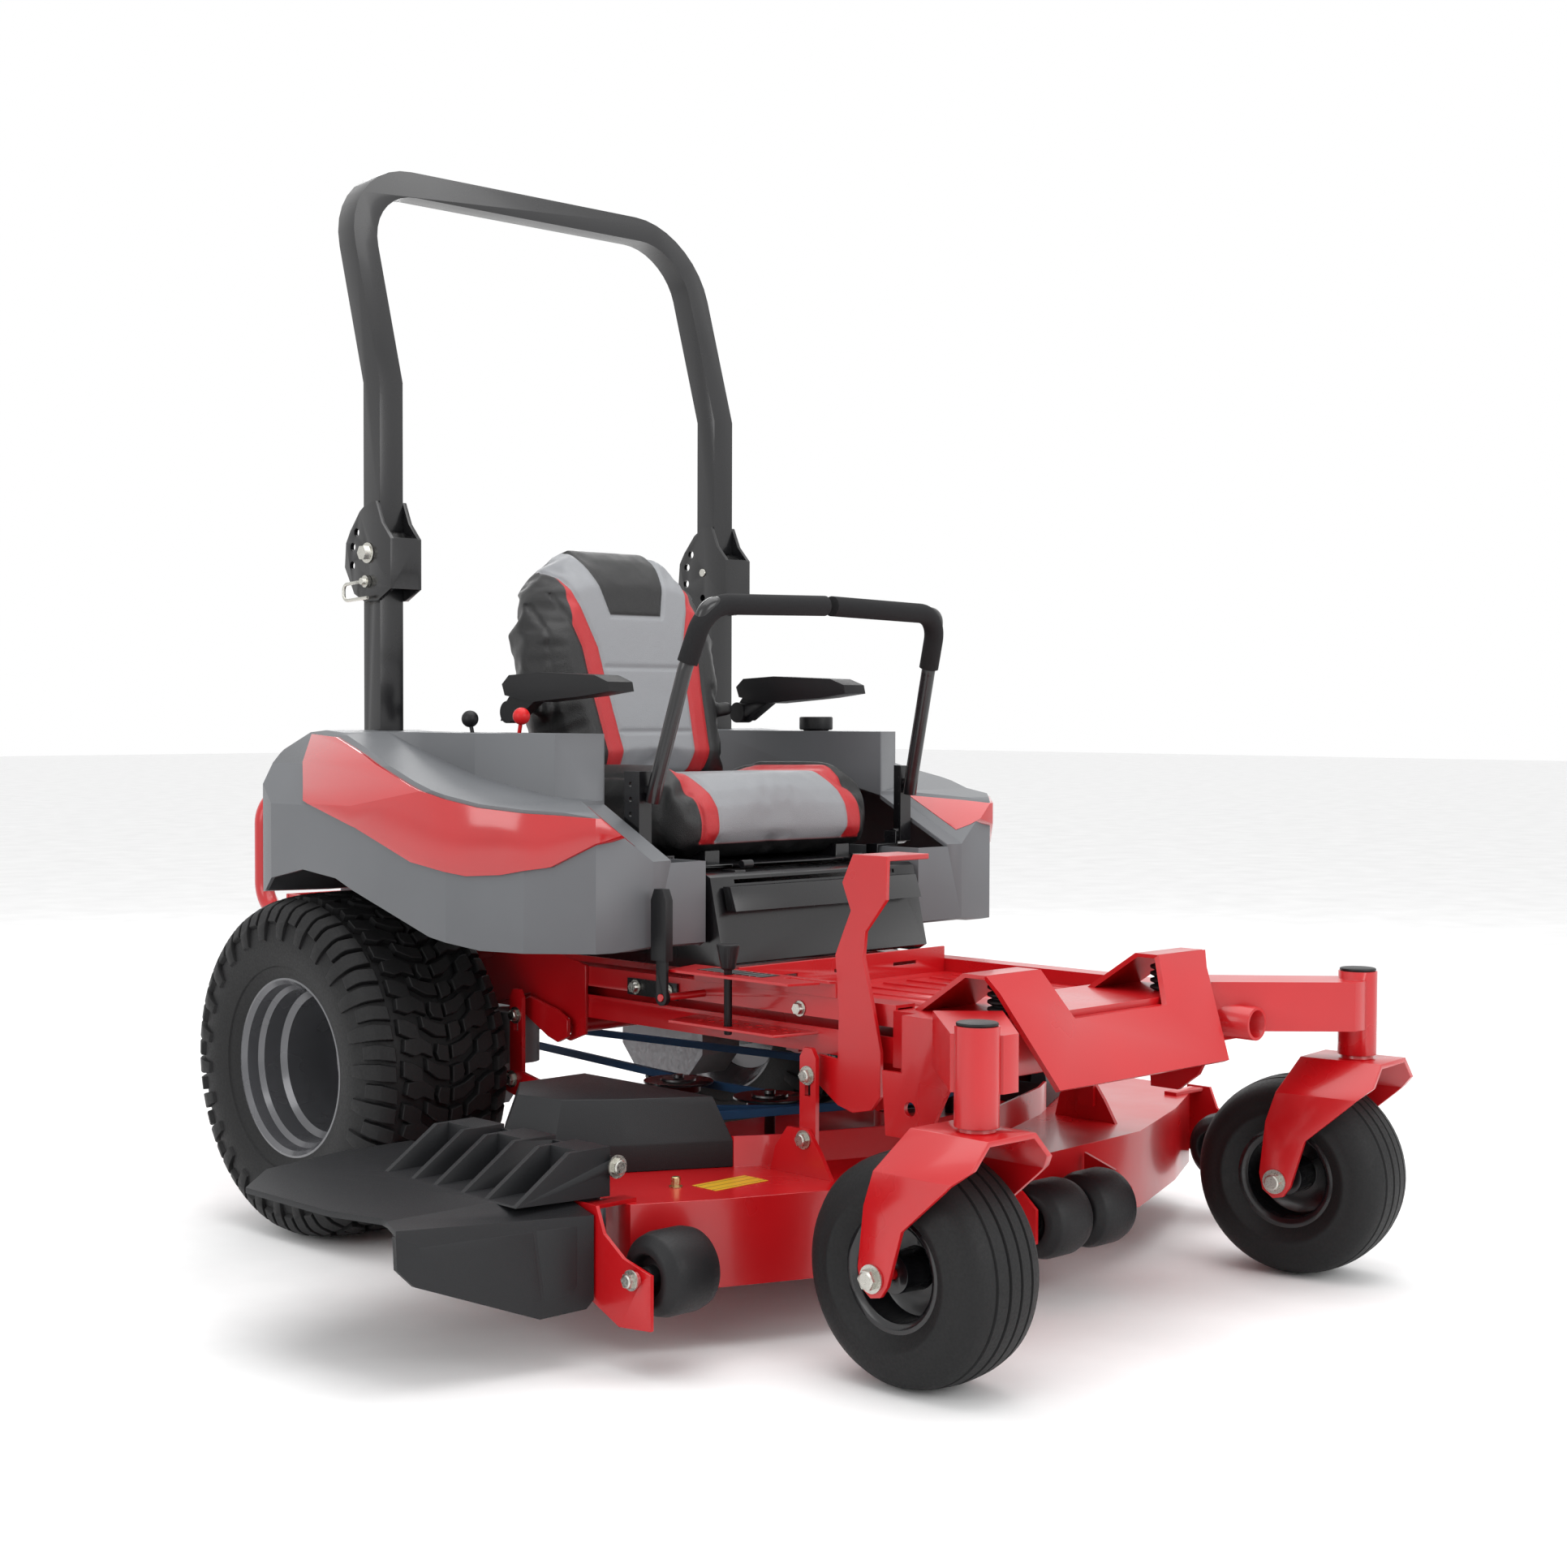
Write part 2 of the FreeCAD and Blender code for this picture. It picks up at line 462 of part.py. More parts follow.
def seat_cushion():
    """Foam cushion on its pan, with a deep front roll and raised bolsters along both sides."""
    side_view = [(-600, 720), (-598, 770), (-580, 796), (-540, 808), (-300, 803), (-262, 786), (-150, 784),
                 (-118, 776), (-118, 700), (-140, 693), (-560, 693), (-590, 704)]
    plan = [(-200, -600), (-245, -560), (-SEAT_HALF, -503), (-SEAT_HALF, -118), (SEAT_HALF, -118),
            (SEAT_HALF, -503), (245, -560), (200, -600)]
    bolster_view = [(-566, 700), (-566, 798), (-540, 816), (-500, 828), (-300, 828), (-220, 812), (-150, 784),
                    (-150, 700)]
    bolsters = [plate_x(bolster_view, side * 200, side * SEAT_HALF) for side in (RIGHT, LEFT)]
    return fuse(plate_x(side_view, -SEAT_HALF, SEAT_HALF), *bolsters).common(plate_z(plan, 600, 900))


def seat_back():
    """Tall backrest: a padded front and a black shell, leaning back 14 degrees."""
    front = [(-255, 800), (-232, 860), (-200, 960), (-162, 1100), (-138, 1195), (-118, 1238), (-80, 1256),
             (-44, 1244), (-26, 1190), (-46, 1060), (-74, 930), (-100, 830), (-108, 790), (-200, 788)]
    half = [(165, 780), (198, 812), (215, 860), (240, 980), (236, 1080), (196, 1168), (140, 1222), (98, 1256)]
    across = half + [(-x, z) for x, z in reversed(half)]
    back = plate_x(front, -SEAT_HALF, SEAT_HALF).common(plate_y(across, -300, 20))
    bosses = [rod_x(side * 200, side * 271.5, ARM_PIVOT_Y, ARM_PIVOT_Z, 16) for side in (RIGHT, LEFT)]
    return fuse(cut(back, *[box(side * 198, side * 300, -300, 20, 700, 829) for side in (RIGHT, LEFT)]), *bosses)


def armrest(side):
    """Padded armrest on a pivoting bracket beside the backrest."""
    pad = plate_x([(-470, 966), (-466, 982), (-430, 994), (-280, 1000), (-196, 996), (-176, 980), (-184, 960),
                   (-260, 948), (-400, 958)], side * (ARM_X - 28), side * (ARM_X + 28))
    hub = rod_x(side * 272, side * (ARM_X + 12), ARM_PIVOT_Y, ARM_PIVOT_Z, 20)
    strut = plate_x([(-190, 914), (-152, 914), (-160, 940), (-190, 972), (-260, 956)],
                    side * (ARM_X - 12), side * (ARM_X + 12))
    return fuse(pad, hub, strut)


# ---- controls ------------------------------------------------------------------------------
def lever_hub(side):
    """Slotted upright bracket that rocks fore and aft and carries one drive lever."""
    x = side * LEVER_X
    web = box(x + side * 9, x + side * 14, -565, -530, 692, 832)
    boss = rod_x(x - 14, x + 14, LEVER_PIVOT_Y, LEVER_PIVOT_Z, 14)
    flange = box(x - side * 14, x + side * 14, -568, -563, 692, 832)
    holes = [rod_x(x - 30, x + 30, -546, z, 4) for z in (735, 760, 785, 810)]
    return cut(fuse(cut(web, *holes), boss, flange), rod_x(x - 30, x + 30, LEVER_PIVOT_Y, LEVER_PIVOT_Z, 6.4))


def lever(side):
    """Bent drive lever: steel tube, then a thick foam grip over the bend and the crossways end."""
    def at(x, y, z):
        return (side * x, y, z)
    low = at(LEVER_X - 4, -581, 780)
    tube = pipe([low, at(LEVER_X - 6, -588, 812), at(303, -640, 1000), at(288, -676, 1108), at(40, -676, 1113)],
                LEVER_TUBE_R, 24)
    grip = pipe([at(301, -644, 1012), at(288, -676, 1108), at(9, -676, 1114)], GRIP_R, 58)
    tab = rod(at(LEVER_X - 4, -590, 800), at(LEVER_X - 4, -568.5, 800), 8)
    return cut(tube, grip), grip, tab


def knob_lever(x, y, tip, ball):
    """A thin bent arm rising from the console with a moulded knob on it."""
    stem = rod((x, y, 868), (tip[0], tip[1], tip[2]), 3.5)
    head = Part.makeSphere(ball, V(tip[0], tip[1], tip[2] + 3))
    foot = rod_x(x - 4, x + 4, y, 868, 8)
    return fuse(stem, head, foot)


def parking_brake():
    """Upright hand lever with a flat moulded grip, on a pin beside the right rail."""
    arm = plate_x([(-696, BRAKE_Z), (-672, BRAKE_Z), (-672, 634), (-678, 640), (-690, 640), (-696, 634)], -395, -389)
    boss = rod_x(-395, -386, BRAKE_Y, BRAKE_Z, 13)
    grip = plate_x([(-702, 530), (-666, 530), (-666, 628), (-674, 646), (-694, 646), (-702, 628)], -401, -385.5)
    return cut(fuse(arm, boss, grip), rod_x(-410, -380, BRAKE_Y, BRAKE_Z, 6.4))


def height_pin():
    """Spring pin with a tapered knob that sets the cutting height."""
    shank = rod((-362, -806, 420), (-362, -806, 530), 6.5)
    knob = Part.makeCone(11, 19, 40, V(-362, -806, 524))
    return fuse(shank, knob)


def lift_pedal():
    """Pedal plate and both front lifting arms on one cross shaft."""
    x0, x1 = -318.0, -326.0
    plate = plate_x([(-1010, 330), (-1042, 322), (-1078, 330), (-1098, 352), (-1098, 420), (-1082, 486), (-1062, 560),
                     (-1066, 600), (-1108, 650), (-1110, 716), (-1040, 716), (-1018, 672), (-1036, 630),
                     (-1020, 596), (-1004, 560), (-1012, 480), (-1010, 400), (-970, 404), (-946, 396),
                     (-944, 376), (-962, 362)], x0, x1)
    pad = box(x0, -226, -1106, -1042, 708, 716)
    shaft = rod_x(x0, 318, PEDAL_Y, PEDAL_Z, 13)
    arm = [(-1078, 330), (-1042, 322), (-1010, 330), (-946, 362), (-940, 392), (-962, 402), (-1042, 392), (-1078, 380)]
    return fuse(plate, pad, shaft, plate_x(arm, -x0, -x1))


def rear_lift():
    """Rear cross shaft with its two lifting arms, turning with the pedal."""
    shaft = rod_x(-318, 318, REAR_LIFT_Y, REAR_LIFT_Z, 13)
    arm = [(-366, 366), (-339, 354), (-312, 362), (-246, 396), (-240, 418), (-262, 428), (-339, 410), (-366, 396)]
    arms = [plate_x(arm, side * 318, side * 326) for side in (RIGHT, LEFT)]
    return fuse(shaft, *arms)


# ---- deck ------------------------------------------------------------------------------------
DECK_HALF = [(0, -1118), (330, -1100), (560, -1010), (720, -930), (782, -850), (782, -520), (700, -430),
             (520, -405), (300, -440), (180, -560), (0, -570)]


COVER_FOOT = [(392, -850), (548, -768), (632, -700), (655, -600), (560, -490), (392, -490)]
COVER_TOP = [(410, -822), (536, -745), (606, -688), (626, -604), (548, -512), (410, -512)]


DECK_RIGHT = [(-180, -560), (-300, -440), (-520, -405), (-690, -425), (-690, -945), (-560, -1010), (-330, -1100)]


def deck_outline(inset=0.0):
    points = DECK_HALF + DECK_RIGHT
    if not inset:
        return points
    return shrunk(points, inset, (0, -760))


def deck_shell():
    """Welded cutting-deck shell: skirt, top plate, raised front baffle and the discharge opening."""
    skirt = cut(plate_z(deck_outline(), DECK_Z0, DECK_Z1), plate_z(deck_outline(6), DECK_Z0 - 5, DECK_Z1 - 5))
    mouth = box(-800, -676, -890, -470, DECK_Z0 - 10, DECK_Z1 - 6)
    housings = [rod((x, y, DECK_Z1 - 6), (x, y, 264), 42) for x, y in SPINDLES.values()]
    holes = [rod((x, y, 150), (x, y, 300), 13.3) for x, y in SPINDLES.values()]
    shell = cut(fuse(cut(skirt, mouth), *housings), *holes)
    wall_line = [(-620, -700), (-540, -768), (-330, -884), (-120, -960), (120, -960), (330, -884), (540, -768),
                 (620, -700)]
    back = [(x * 0.992, y + 5) for x, y in reversed(wall_line)]
    wall = plate_z(wall_line + back, DECK_Z1, 268)
    for side in (RIGHT, LEFT):
        clear = [(side * x, y) for x, y in shrunk(COVER_FOOT, -2, (505, -670))]
        wall = cut(wall, plate_z(clear, DECK_Z1, 280))
    hx = CHUTE_HINGE_X
    tabs = [box(hx - 13, hx + 24, y, y + 6, DECK_Z1, 288) for y in CHUTE_TABS]
    pin_line = rod((hx, CHUTE_Y0, CHUTE_HINGE_Z), (hx, CHUTE_Y1, CHUTE_HINGE_Z), 6.5)
    return fuse(shell, wall, *[cut(tab, pin_line) for tab in tabs])


def spindle(name):
    """Blade, spindle shaft and pulley that turn together in one deck position."""
    x, y = SPINDLES[name]
    shaft = rod((x, y, 112), (x, y, 305), 13)
    pulley = turned([(274, 0), (274, 66), (277, 70), (281, 50), (299, 50), (302, 70), (305, 70), (305, 0)],
                    (x, y, 0), (0, 0, 1))
    blade = fuse(box(x - BLADE_R, x + BLADE_R, y - 31, y + 31, 112, 118),
                 prism([(x + BLADE_R - 110, y + 31, 118), (x + BLADE_R, y + 31, 118), (x + BLADE_R, y + 31, 140),
                        (x + BLADE_R - 90, y + 31, 140)], (0, -6, 0)),
                 prism([(x - BLADE_R + 110, y - 31, 118), (x - BLADE_R, y - 31, 118), (x - BLADE_R, y - 31, 140),
                        (x - BLADE_R + 90, y - 31, 140)], (0, 6, 0)))
    return fuse(shaft, pulley, blade)


def belt_covers():
    """Moulded covers over the two outer spindle pulleys, open underneath and towards the middle."""
    def ring(points, z, side):
        return Part.makePolygon([V(side * x, y, z) for x, y in points + points[:1]])
    out = []
    for side in (RIGHT, LEFT):
        lower = plate_z([(side * x, y) for x, y in COVER_FOOT], DECK_Z1, 262)
        upper = Part.makeLoft([ring(COVER_FOOT, 262, side), ring(COVER_TOP, 330, side)], True)
        inner_foot = shrunk(COVER_FOOT, 7, (505, -670))
        inner_top = shrunk(COVER_TOP, 7, (505, -670))
        hollow = plate_z([(side * x, y) for x, y in inner_foot], DECK_Z1 - 1, 262)
        roof = Part.makeLoft([ring(inner_foot, 262, side), ring(inner_top, 325, side)], True)
        doorway = box(side * 380, side * 430, -812, -530, 262, 312)
        out.append(cut(fuse(lower, upper), hollow, roof, doorway))
    return out


BELT_HALF = [(72, 250), (176, -520), (173, -790), (200, -816), (240, -817), (272, -796), (480, -612), (530, -614),
             (566, -640), (574, -680), (566, -718), (540, -744), (515, -750), (40, -912), (0, -917)]
IDLERS = [(228, -545), (226, -764)]


def deck_belt():
    """Flat loop of deck belt from the engine, past the idlers, round the three spindle pulleys."""
    outline = BELT_HALF + [(-x, y) for x, y in reversed(BELT_HALF[:-1])] + [(-40, 322), (40, 322)]
    wire = Part.makePolygon([V(x, y, 284) for x, y in outline + outline[:1]])
    face = Part.Face(wire)
    inner = face.makeOffset2D(-10.5)
    belt = face.cut(inner).extrude(V(0, 0, 13))
    wheels = []
    for side in (RIGHT, LEFT):
        for x, y in IDLERS:
            hub = rod((side * x, y, DECK_Z1 + 1), (side * x, y, 312), 9)
            drum = rod((side * x, y, 284), (side * x, y, 298), 38)
            rims = [rod((side * x, y, 298), (side * x, y, 302), 60), rod((side * x, y, 302), (side * x, y, 306), 30)]
            wheels.append(fuse(hub, drum, *rims))
    return group(*belt.Solids, *wheels)


def deck_brackets():
    """Hanger brackets and slotted links at four corners, and the arms of the anti-scalp rollers."""
    solids = []
    for side in (RIGHT, LEFT):
        x0, x1 = side * (LINK_X - 8), side * LINK_X
        for y, top in ((-972, 402), (-256, 428)):
            base = 266 if y < -500 else 282
            link = plate_x([(y - 17, base - 20), (y + 17, base - 20), (y + 17, top), (y + 8, top + 14), (y - 8, top + 14),
                            (y - 17, top)], x0, x1)
            solids.append(cut(link, box(-400, 400, y - 6, y + 6, top - 60, top - 26)))
        front = plate_x([(-1030, DECK_Z1), (-900, DECK_Z1), (-910, 258), (-936, 292), (-980, 292), (-1006, 258)],
                        side * (LINK_X + 0.5), side * (LINK_X + 8))
        rear = plate_x([(-440, DECK_Z1), (-404, DECK_Z1 + 2), (-236, 262), (-232, 296), (-276, 300), (-440, 268)],
                       side * (LINK_X + 0.5), side * (LINK_X + 8))
        solids += [front, rear]
        x = side * (ROLLER_X + 64)
        axle = rod_x(x, x - side * 118, ROLLER_Y, ROLLER_Z, 8)
        lug = rod_x(x + side * 6, x + side * 14, ROLLER_Y, ROLLER_Z, 11)
        tie = box(side * 670, x, -935, -908, DECK_Z1, 226)
        arm = plate_x([(-1066, 150), (-1008, 164), (-966, 192), (-950, 229), (-900, 229), (-900, 110), (-1000, 66),
                       (-1066, 72)], x, x + side * 6)
        solids += [fuse(arm, axle, lug, tie)]
    centre = [plate_x([(-1210, 112), (-1160, 112), (-1118, 140), (-1118, 210), (-1180, 190), (-1210, 165)], x, x + 6)
              for x in (-92, 150)]
    rail = rod_x(-92, 156, -1185, ROLLER_Z, 8)
    return solids + [fuse(*centre, rail)]


def roller(x, y, z, width):
    """Barrel-shaped anti-scalp roller with a recessed face and a bore for its axle."""
    w = width / 2
    profile = [(-w, 9), (-w, 30), (-w + 2, 44), (-w + 14, 57), (-w + 30, 61), (w - 30, 61), (w - 14, 57), (w - 2, 44),
               (w, 30), (w, 9)]
    dish = [(-w - 1, 14), (-w - 1, 33), (-w + 18, 26), (-w + 18, 14)]
    return cut(turned(profile, (x, y, z)), turned(dish, (x, y, z)))


def chute():
    """Moulded discharge chute: a wide lip, three raised louvres and a deep front skirt."""
    outline = [(-706, -896), (-764, -896), (-764, -950), (-1068, -896), (-1058, -850), (-1085, -760),
               (-1092, -560), (-1000, -470), (-840, CHUTE_Y1), (-706, CHUTE_Y1)]
    section = [(-960, 206), (-960, 214), (-868, 240), (CHUTE_Y1, 244), (CHUTE_Y1, 236), (-868, 231)]
    top = plate_x(section, -1100, -706).common(plate_z(outline, 150, 300))
    slant = (-896 + 950) / (-1068 + 764)
    skirt_view = [(-1068, 224), (-1066, 178), (-1040, 152), (-850, 80), (-776, 84), (-764, 96), (-764, 212)]
    skirt = prism([(x, -896 + (x + 1068) * slant, z) for x, z in skirt_view], (0, 8, 0))
    ending = plate_x([(-948, 212), (-948, 96), (-888, 120), (-888, 232)], -772, -764)
    inner = box(-772, -706, -896, -888, 120, 236)
    louvres = []
    for k in range(3):
        y = CHUTE_Y0 + 123 * k
        wedge = plate_y([(-706, 303), (-782, 303), (-880, 238), (-706, 231)], y, y + 76)
        scoop = plate_y([(-762, 320), (-800, 320), (-900, 240), (-762, 240)], y + 9, y + 67)
        louvres.append(cut(wedge, scoop))
    hx, hz = CHUTE_HINGE_X, CHUTE_HINGE_Z
    ribs = [box(-712, -706, y, y + 50, 236, 296) for y in (-842, -719)]
    lugs = [rod((hx, y, hz), (hx, y + 20, hz), 14) for y in (-914, -620)]
    pins = [rod((hx, -920, hz), (hx, -812, hz), 6), rod((hx, -610, hz), (hx, -548, hz), 6)]
    heads = [rod((hx, -926, hz), (hx, -914, hz), 12), rod((hx, -554, hz), (hx, -546, hz), 12)]
    reliefs = [rod((hx, y - 1.5, hz), (hx, y + 7.5, hz), 46) for y in CHUTE_TABS]
    body = fuse(top, skirt, ending, inner, *louvres, *ribs, *lugs)
    return fuse(cut(body, *reliefs), *pins, *heads)


# ---- wheels ----------------------------------------------------------------------------------
def caster_fork(side):
    """Bent-plate fork with its stem, the axle bolt and its two nuts."""
    px, py = side * CASTER_X, CASTER_Y
    outer = [(-50, 366), (-104, 312), (-104, 130), (104, 130), (104, 312), (50, 366)]
    inner = [(-46.5, 358), (-96, 308), (-96, 120), (96, 120), (96, 308), (46.5, 358)]
    bent = cut(plate_y([(px + a, b) for a, b in outer], py - 90, py + 150),
               plate_y([(px + a, b) for a, b in inner], py - 95, py + 155))
    leg = [(-62, 366), (76, 366), (112, 262), (122, 176), (116, 150), (98, 137), (80, 141), (68, 158), (44, 236),
           (-30, 300), (-62, 330)]
    silhouette = plate_x([(py + a, b) for a, b in leg], px - 120, px + 120)
    fork = bent.common(silhouette)
    stem = rod((px, py, 366), (px, py, 500), 16.5)
    collar = rod((px, py, 366), (px, py, TUBE_Z0 - 0.5), 26)
    ay, az = py + CASTER_TRAIL, 165.0
    axle = rod_x(px - 118, px + 118, ay, az, 8)
    heads = [hex_head(px + s * 104, ay, az, 24, 12, s) for s in (RIGHT, LEFT)]
    return fuse(fork, stem, collar, axle, *heads)


def tyre(x, y, z, radius, width, rim, crown):
    """A closed tyre section turned round its axle, with a rounded shoulder."""
    w = width / 2
    profile = [(-w * 0.80, rim), (-w * 0.97, rim + 14), (-w, radius * 0.72), (-w * 0.97, radius * 0.86),
               (-w * 0.86, radius * 0.95), (-w * 0.6, radius * crown), (0, radius), (w * 0.6, radius * crown),
               (w * 0.86, radius * 0.95), (w * 0.97, radius * 0.86), (w, radius * 0.72), (w * 0.97, rim + 14),
               (w * 0.80, rim)]
    wall = 14.0
    void = [(a * 0.84, rim + wall + (r - rim) * (1 - 2 * wall / (radius - rim))) for a, r in profile]
    return cut(turned(profile, (x, y, z)), turned(void, (x, y, z)))


def caster_rim(x, y, z):
    profile = [(-66, 76), (-66, 86), (-60, 86), (-56, 74.7), (56, 74.7), (60, 86), (66, 86), (66, 76), (60, 68),
               (16, 66), (10, 30), (64, 28), (64, 9), (-64, 9), (-64, 28), (-10, 30), (-16, 66), (-60, 68)]
    return turned(profile, (x, y, z))


def swivelled(shape, side):
    """The same shape turned about its caster's upright pivot, as the machine was parked."""
    turned_shape = shape.copy()
    turned_shape.rotate(V(side * CASTER_X, CASTER_Y, 0), V(0, 0, 1), CASTER_YAW[side])
    return turned_shape


def drive_rim(side):
    """Deep-dished steel rim with its disc, and the hub flange and nuts behind it."""
    inset = (DRIVE_X - DRIVE_DISC_X)
    w = 128.0
    profile = [(-w, 154), (-w, 166), (-w + 8, 168), (-w + 12, 151.7), (w - 12, 151.7), (w - 8, 168), (w, 166),
               (w, 154), (w - 18, 144), (inset + 6, 140), (inset + 5, 24), (inset - 3, 24), (inset - 4, 140),
               (-w + 18, 144)]
    rim = turned(profile, (side * DRIVE_X, 0, DRIVE_R), (-side, 0, 0))
    for k in range(5):
        a = math.radians(72 * k)
        rim = cut(rim, rod_x(side * 400, side * 500, 92 * math.cos(a), DRIVE_R + 92 * math.sin(a), 14))
    flange = rod_x(side * 447, side * (DRIVE_DISC_X - 5), 0, DRIVE_R, 70)
    nuts = []
    for k in range(5):
        a = math.radians(36 + 72 * k)
        nuts.append(rod_x(side * (DRIVE_DISC_X + 3), side * (DRIVE_DISC_X + 19), 57 * math.cos(a),
                          DRIVE_R + 57 * math.sin(a), 10))
    cap = rod_x(side * 447, side * (DRIVE_DISC_X + 12), 0, DRIVE_R, 23)
    return fuse(rim, flange, cap, *nuts)


# ---- fasteners -------------------------------------------------------------------------------
def frame_bolts():
    """Bolts that hold the links, hangers, roll bar and rail strap, each a separate solid."""
    bolts = []
    for side in (RIGHT, LEFT):
        shank = rod_x(side * (ROPS_X - 36), side * (ROPS_X + 35), ROPS_Y, ROPS_PIVOT_Z, 8)
        bolts.append(fuse(shank, hex_head(side * (ROPS_X + 34.5), ROPS_Y, ROPS_PIVOT_Z, 24, 12, side)))
    strap = box(-RAIL_X1, -RAIL_X1 - 5, -624, -500, 452, 480)
    bolts += [strap]
    bolts += [hex_head(-RAIL_X1 - 5, y, 466, 16, 8, RIGHT) for y in (-602, -522)]
    bolts += [hex_head(-RAIL_X1, -905, 466, 16, 8, RIGHT)]
    return bolts


# ---- assembly --------------------------------------------------------------------------------
def build():
    node("frame_rails", frame_rails())
    node("front_crossbeam", front_crossbeam())
    node("caster_caps", *[rod((s * CASTER_X, CASTER_Y, TUBE_Z1), (s * CASTER_X, CASTER_Y, TUBE_Z1 + 5), 29)
                          for s in (RIGHT, LEFT)])
    node("floor_pan", floor_pan())
    node("footrest", footrest())
    node("footrest_bellows", *footrest_bellows())
    frame, guard = rear_frame()
    node("rear_frame", frame)
    node("rear_guard", guard)
    block, blower, muffler = engine()
    node("engine_block", block)
    node("engine_blower", blower)
    node("muffler", muffler)
    node("transaxles", *transaxles())
    node("seat_box", seat_box())
    for name, side in SIDES.items():
        node("fender_" + name, pod(side))
        node("side_panel_" + name, side_panel(side))
        node("lock_pin_" + name, lock_pin(side))
        node("armrest_" + name, armrest(side))
        node("lever_hub_" + name, lever_hub(side))
        node("lever_" + name, *lever(side))
        cx, cy = side * CASTER_X, CASTER_Y + CASTER_TRAIL
        small_rim, large_rim = caster_rim(cx, cy, CASTER_R), drive_rim(side)
        small_tyre = cut(tyre(cx, cy, CASTER_R, CASTER_R, CASTER_W, 76.5, 0.985), small_rim)
        node("caster_fork_" + name, swivelled(caster_fork(side), side))
        node("caster_tyre_" + name, swivelled(small_tyre, side))
        node("caster_rim_" + name, swivelled(small_rim, side))
        node("drive_tyre_" + name, cut(tyre(side * DRIVE_X, 0, DRIVE_R, DRIVE_R, DRIVE_W, 152.5, 0.985), large_rim))
        node("drive_rim_" + name, large_rim)
        node("spindle_" + name, spindle(name))
        node("roller_" + name, roller(side * ROLLER_X, ROLLER_Y, ROLLER_Z, 106))
    node("spindle_c", spindle("c"))
    node("roller_centre", roller(-28, -1185, ROLLER_Z, 106), roller(86, -1185, ROLLER_Z, 106))
    node("fuel_cap", fuse(rod((404, -260, 884), (404, -260, 896), 24), rod((404, -260, 896), (404, -260, 922), 33)))
    node("rops_lower", *rops_lower())
    node("rops_hoop", rops_hoop())
    node("seat_base", seat_base())
    node("seat_cushion", seat_cushion())
    node("seat_back", seat_back())
    node("throttle_lever", knob_lever(-402, -205, (-402, -190, 915), 15))
    node("choke_lever", knob_lever(-384, -300, (-384, -312, 920), 15))
    node("parking_brake", parking_brake())
    node("height_pin", height_pin())
    node("lift_pedal", lift_pedal())
    node("rear_lift", rear_lift())
    node("frame_bolts", *frame_bolts())
    node("deck_shell", deck_shell())
    node("belt_covers", *belt_covers())
    node("deck_belt", deck_belt())
    node("deck_brackets", *deck_brackets())
    node("discharge_chute", chute())


def export():
    """Shift the machine over the middle of its own footprint and write one file per node."""
    os.makedirs("parts", exist_ok=True)
    whole = Part.makeCompound(list(NODES.values())).BoundBox
    shift = V(-(whole.XMin + whole.XMax) / 2, -(whole.YMin + whole.YMax) / 2, -whole.ZMin)
    for name, shape in NODES.items():
        moved = shape.copy()
        moved.translate(shift)
        moved.exportStep("parts/" + name + ".step")
    print("shift", round(shift.x, 3), round(shift.y, 3), round(shift.z, 3))
    print("size", round(whole.XLength, 1), round(whole.YLength, 1), round(whole.ZLength, 1), len(NODES), "nodes")


build()
export()
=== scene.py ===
import json
import math

import bmesh
import bpy
from mathutils import Matrix, Vector

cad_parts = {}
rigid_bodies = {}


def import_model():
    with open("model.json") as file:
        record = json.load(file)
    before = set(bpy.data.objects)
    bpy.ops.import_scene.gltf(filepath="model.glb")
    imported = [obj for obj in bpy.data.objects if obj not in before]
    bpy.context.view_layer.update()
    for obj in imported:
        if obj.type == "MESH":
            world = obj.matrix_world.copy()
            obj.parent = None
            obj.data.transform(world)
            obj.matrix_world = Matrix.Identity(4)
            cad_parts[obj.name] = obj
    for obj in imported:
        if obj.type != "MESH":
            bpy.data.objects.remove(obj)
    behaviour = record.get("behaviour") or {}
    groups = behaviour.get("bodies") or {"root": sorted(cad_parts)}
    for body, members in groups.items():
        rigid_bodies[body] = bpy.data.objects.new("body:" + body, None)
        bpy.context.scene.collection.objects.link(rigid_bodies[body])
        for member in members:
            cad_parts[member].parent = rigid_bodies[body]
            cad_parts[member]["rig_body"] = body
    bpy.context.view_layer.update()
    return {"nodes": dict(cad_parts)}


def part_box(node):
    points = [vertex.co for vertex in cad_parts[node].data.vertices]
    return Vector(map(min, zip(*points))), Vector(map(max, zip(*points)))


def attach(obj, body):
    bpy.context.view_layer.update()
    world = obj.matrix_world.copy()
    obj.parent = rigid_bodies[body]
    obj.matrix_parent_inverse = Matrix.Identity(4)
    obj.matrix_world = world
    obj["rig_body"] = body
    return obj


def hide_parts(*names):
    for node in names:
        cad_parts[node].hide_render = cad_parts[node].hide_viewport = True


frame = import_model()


# ---- Studio ------------------------------------------------------------------------------------
# A pale seamless floor and soft lights: one broad panel overhead, and one each ahead of the machine,
# on its right and behind it. The camera stands at seat height off the front right corner.
def middle(node):
    low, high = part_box(node)
    return (low + high) / 2


MID_X = middle("rops_lower").x
AXLE_Y = middle("drive_rim_r").y


def at(x, y, z):
    """A place on the machine in millimetres from its mid-plane, rear axle and the ground."""
    return Vector((MID_X + x / 1000, AXLE_Y + y / 1000, z / 1000))


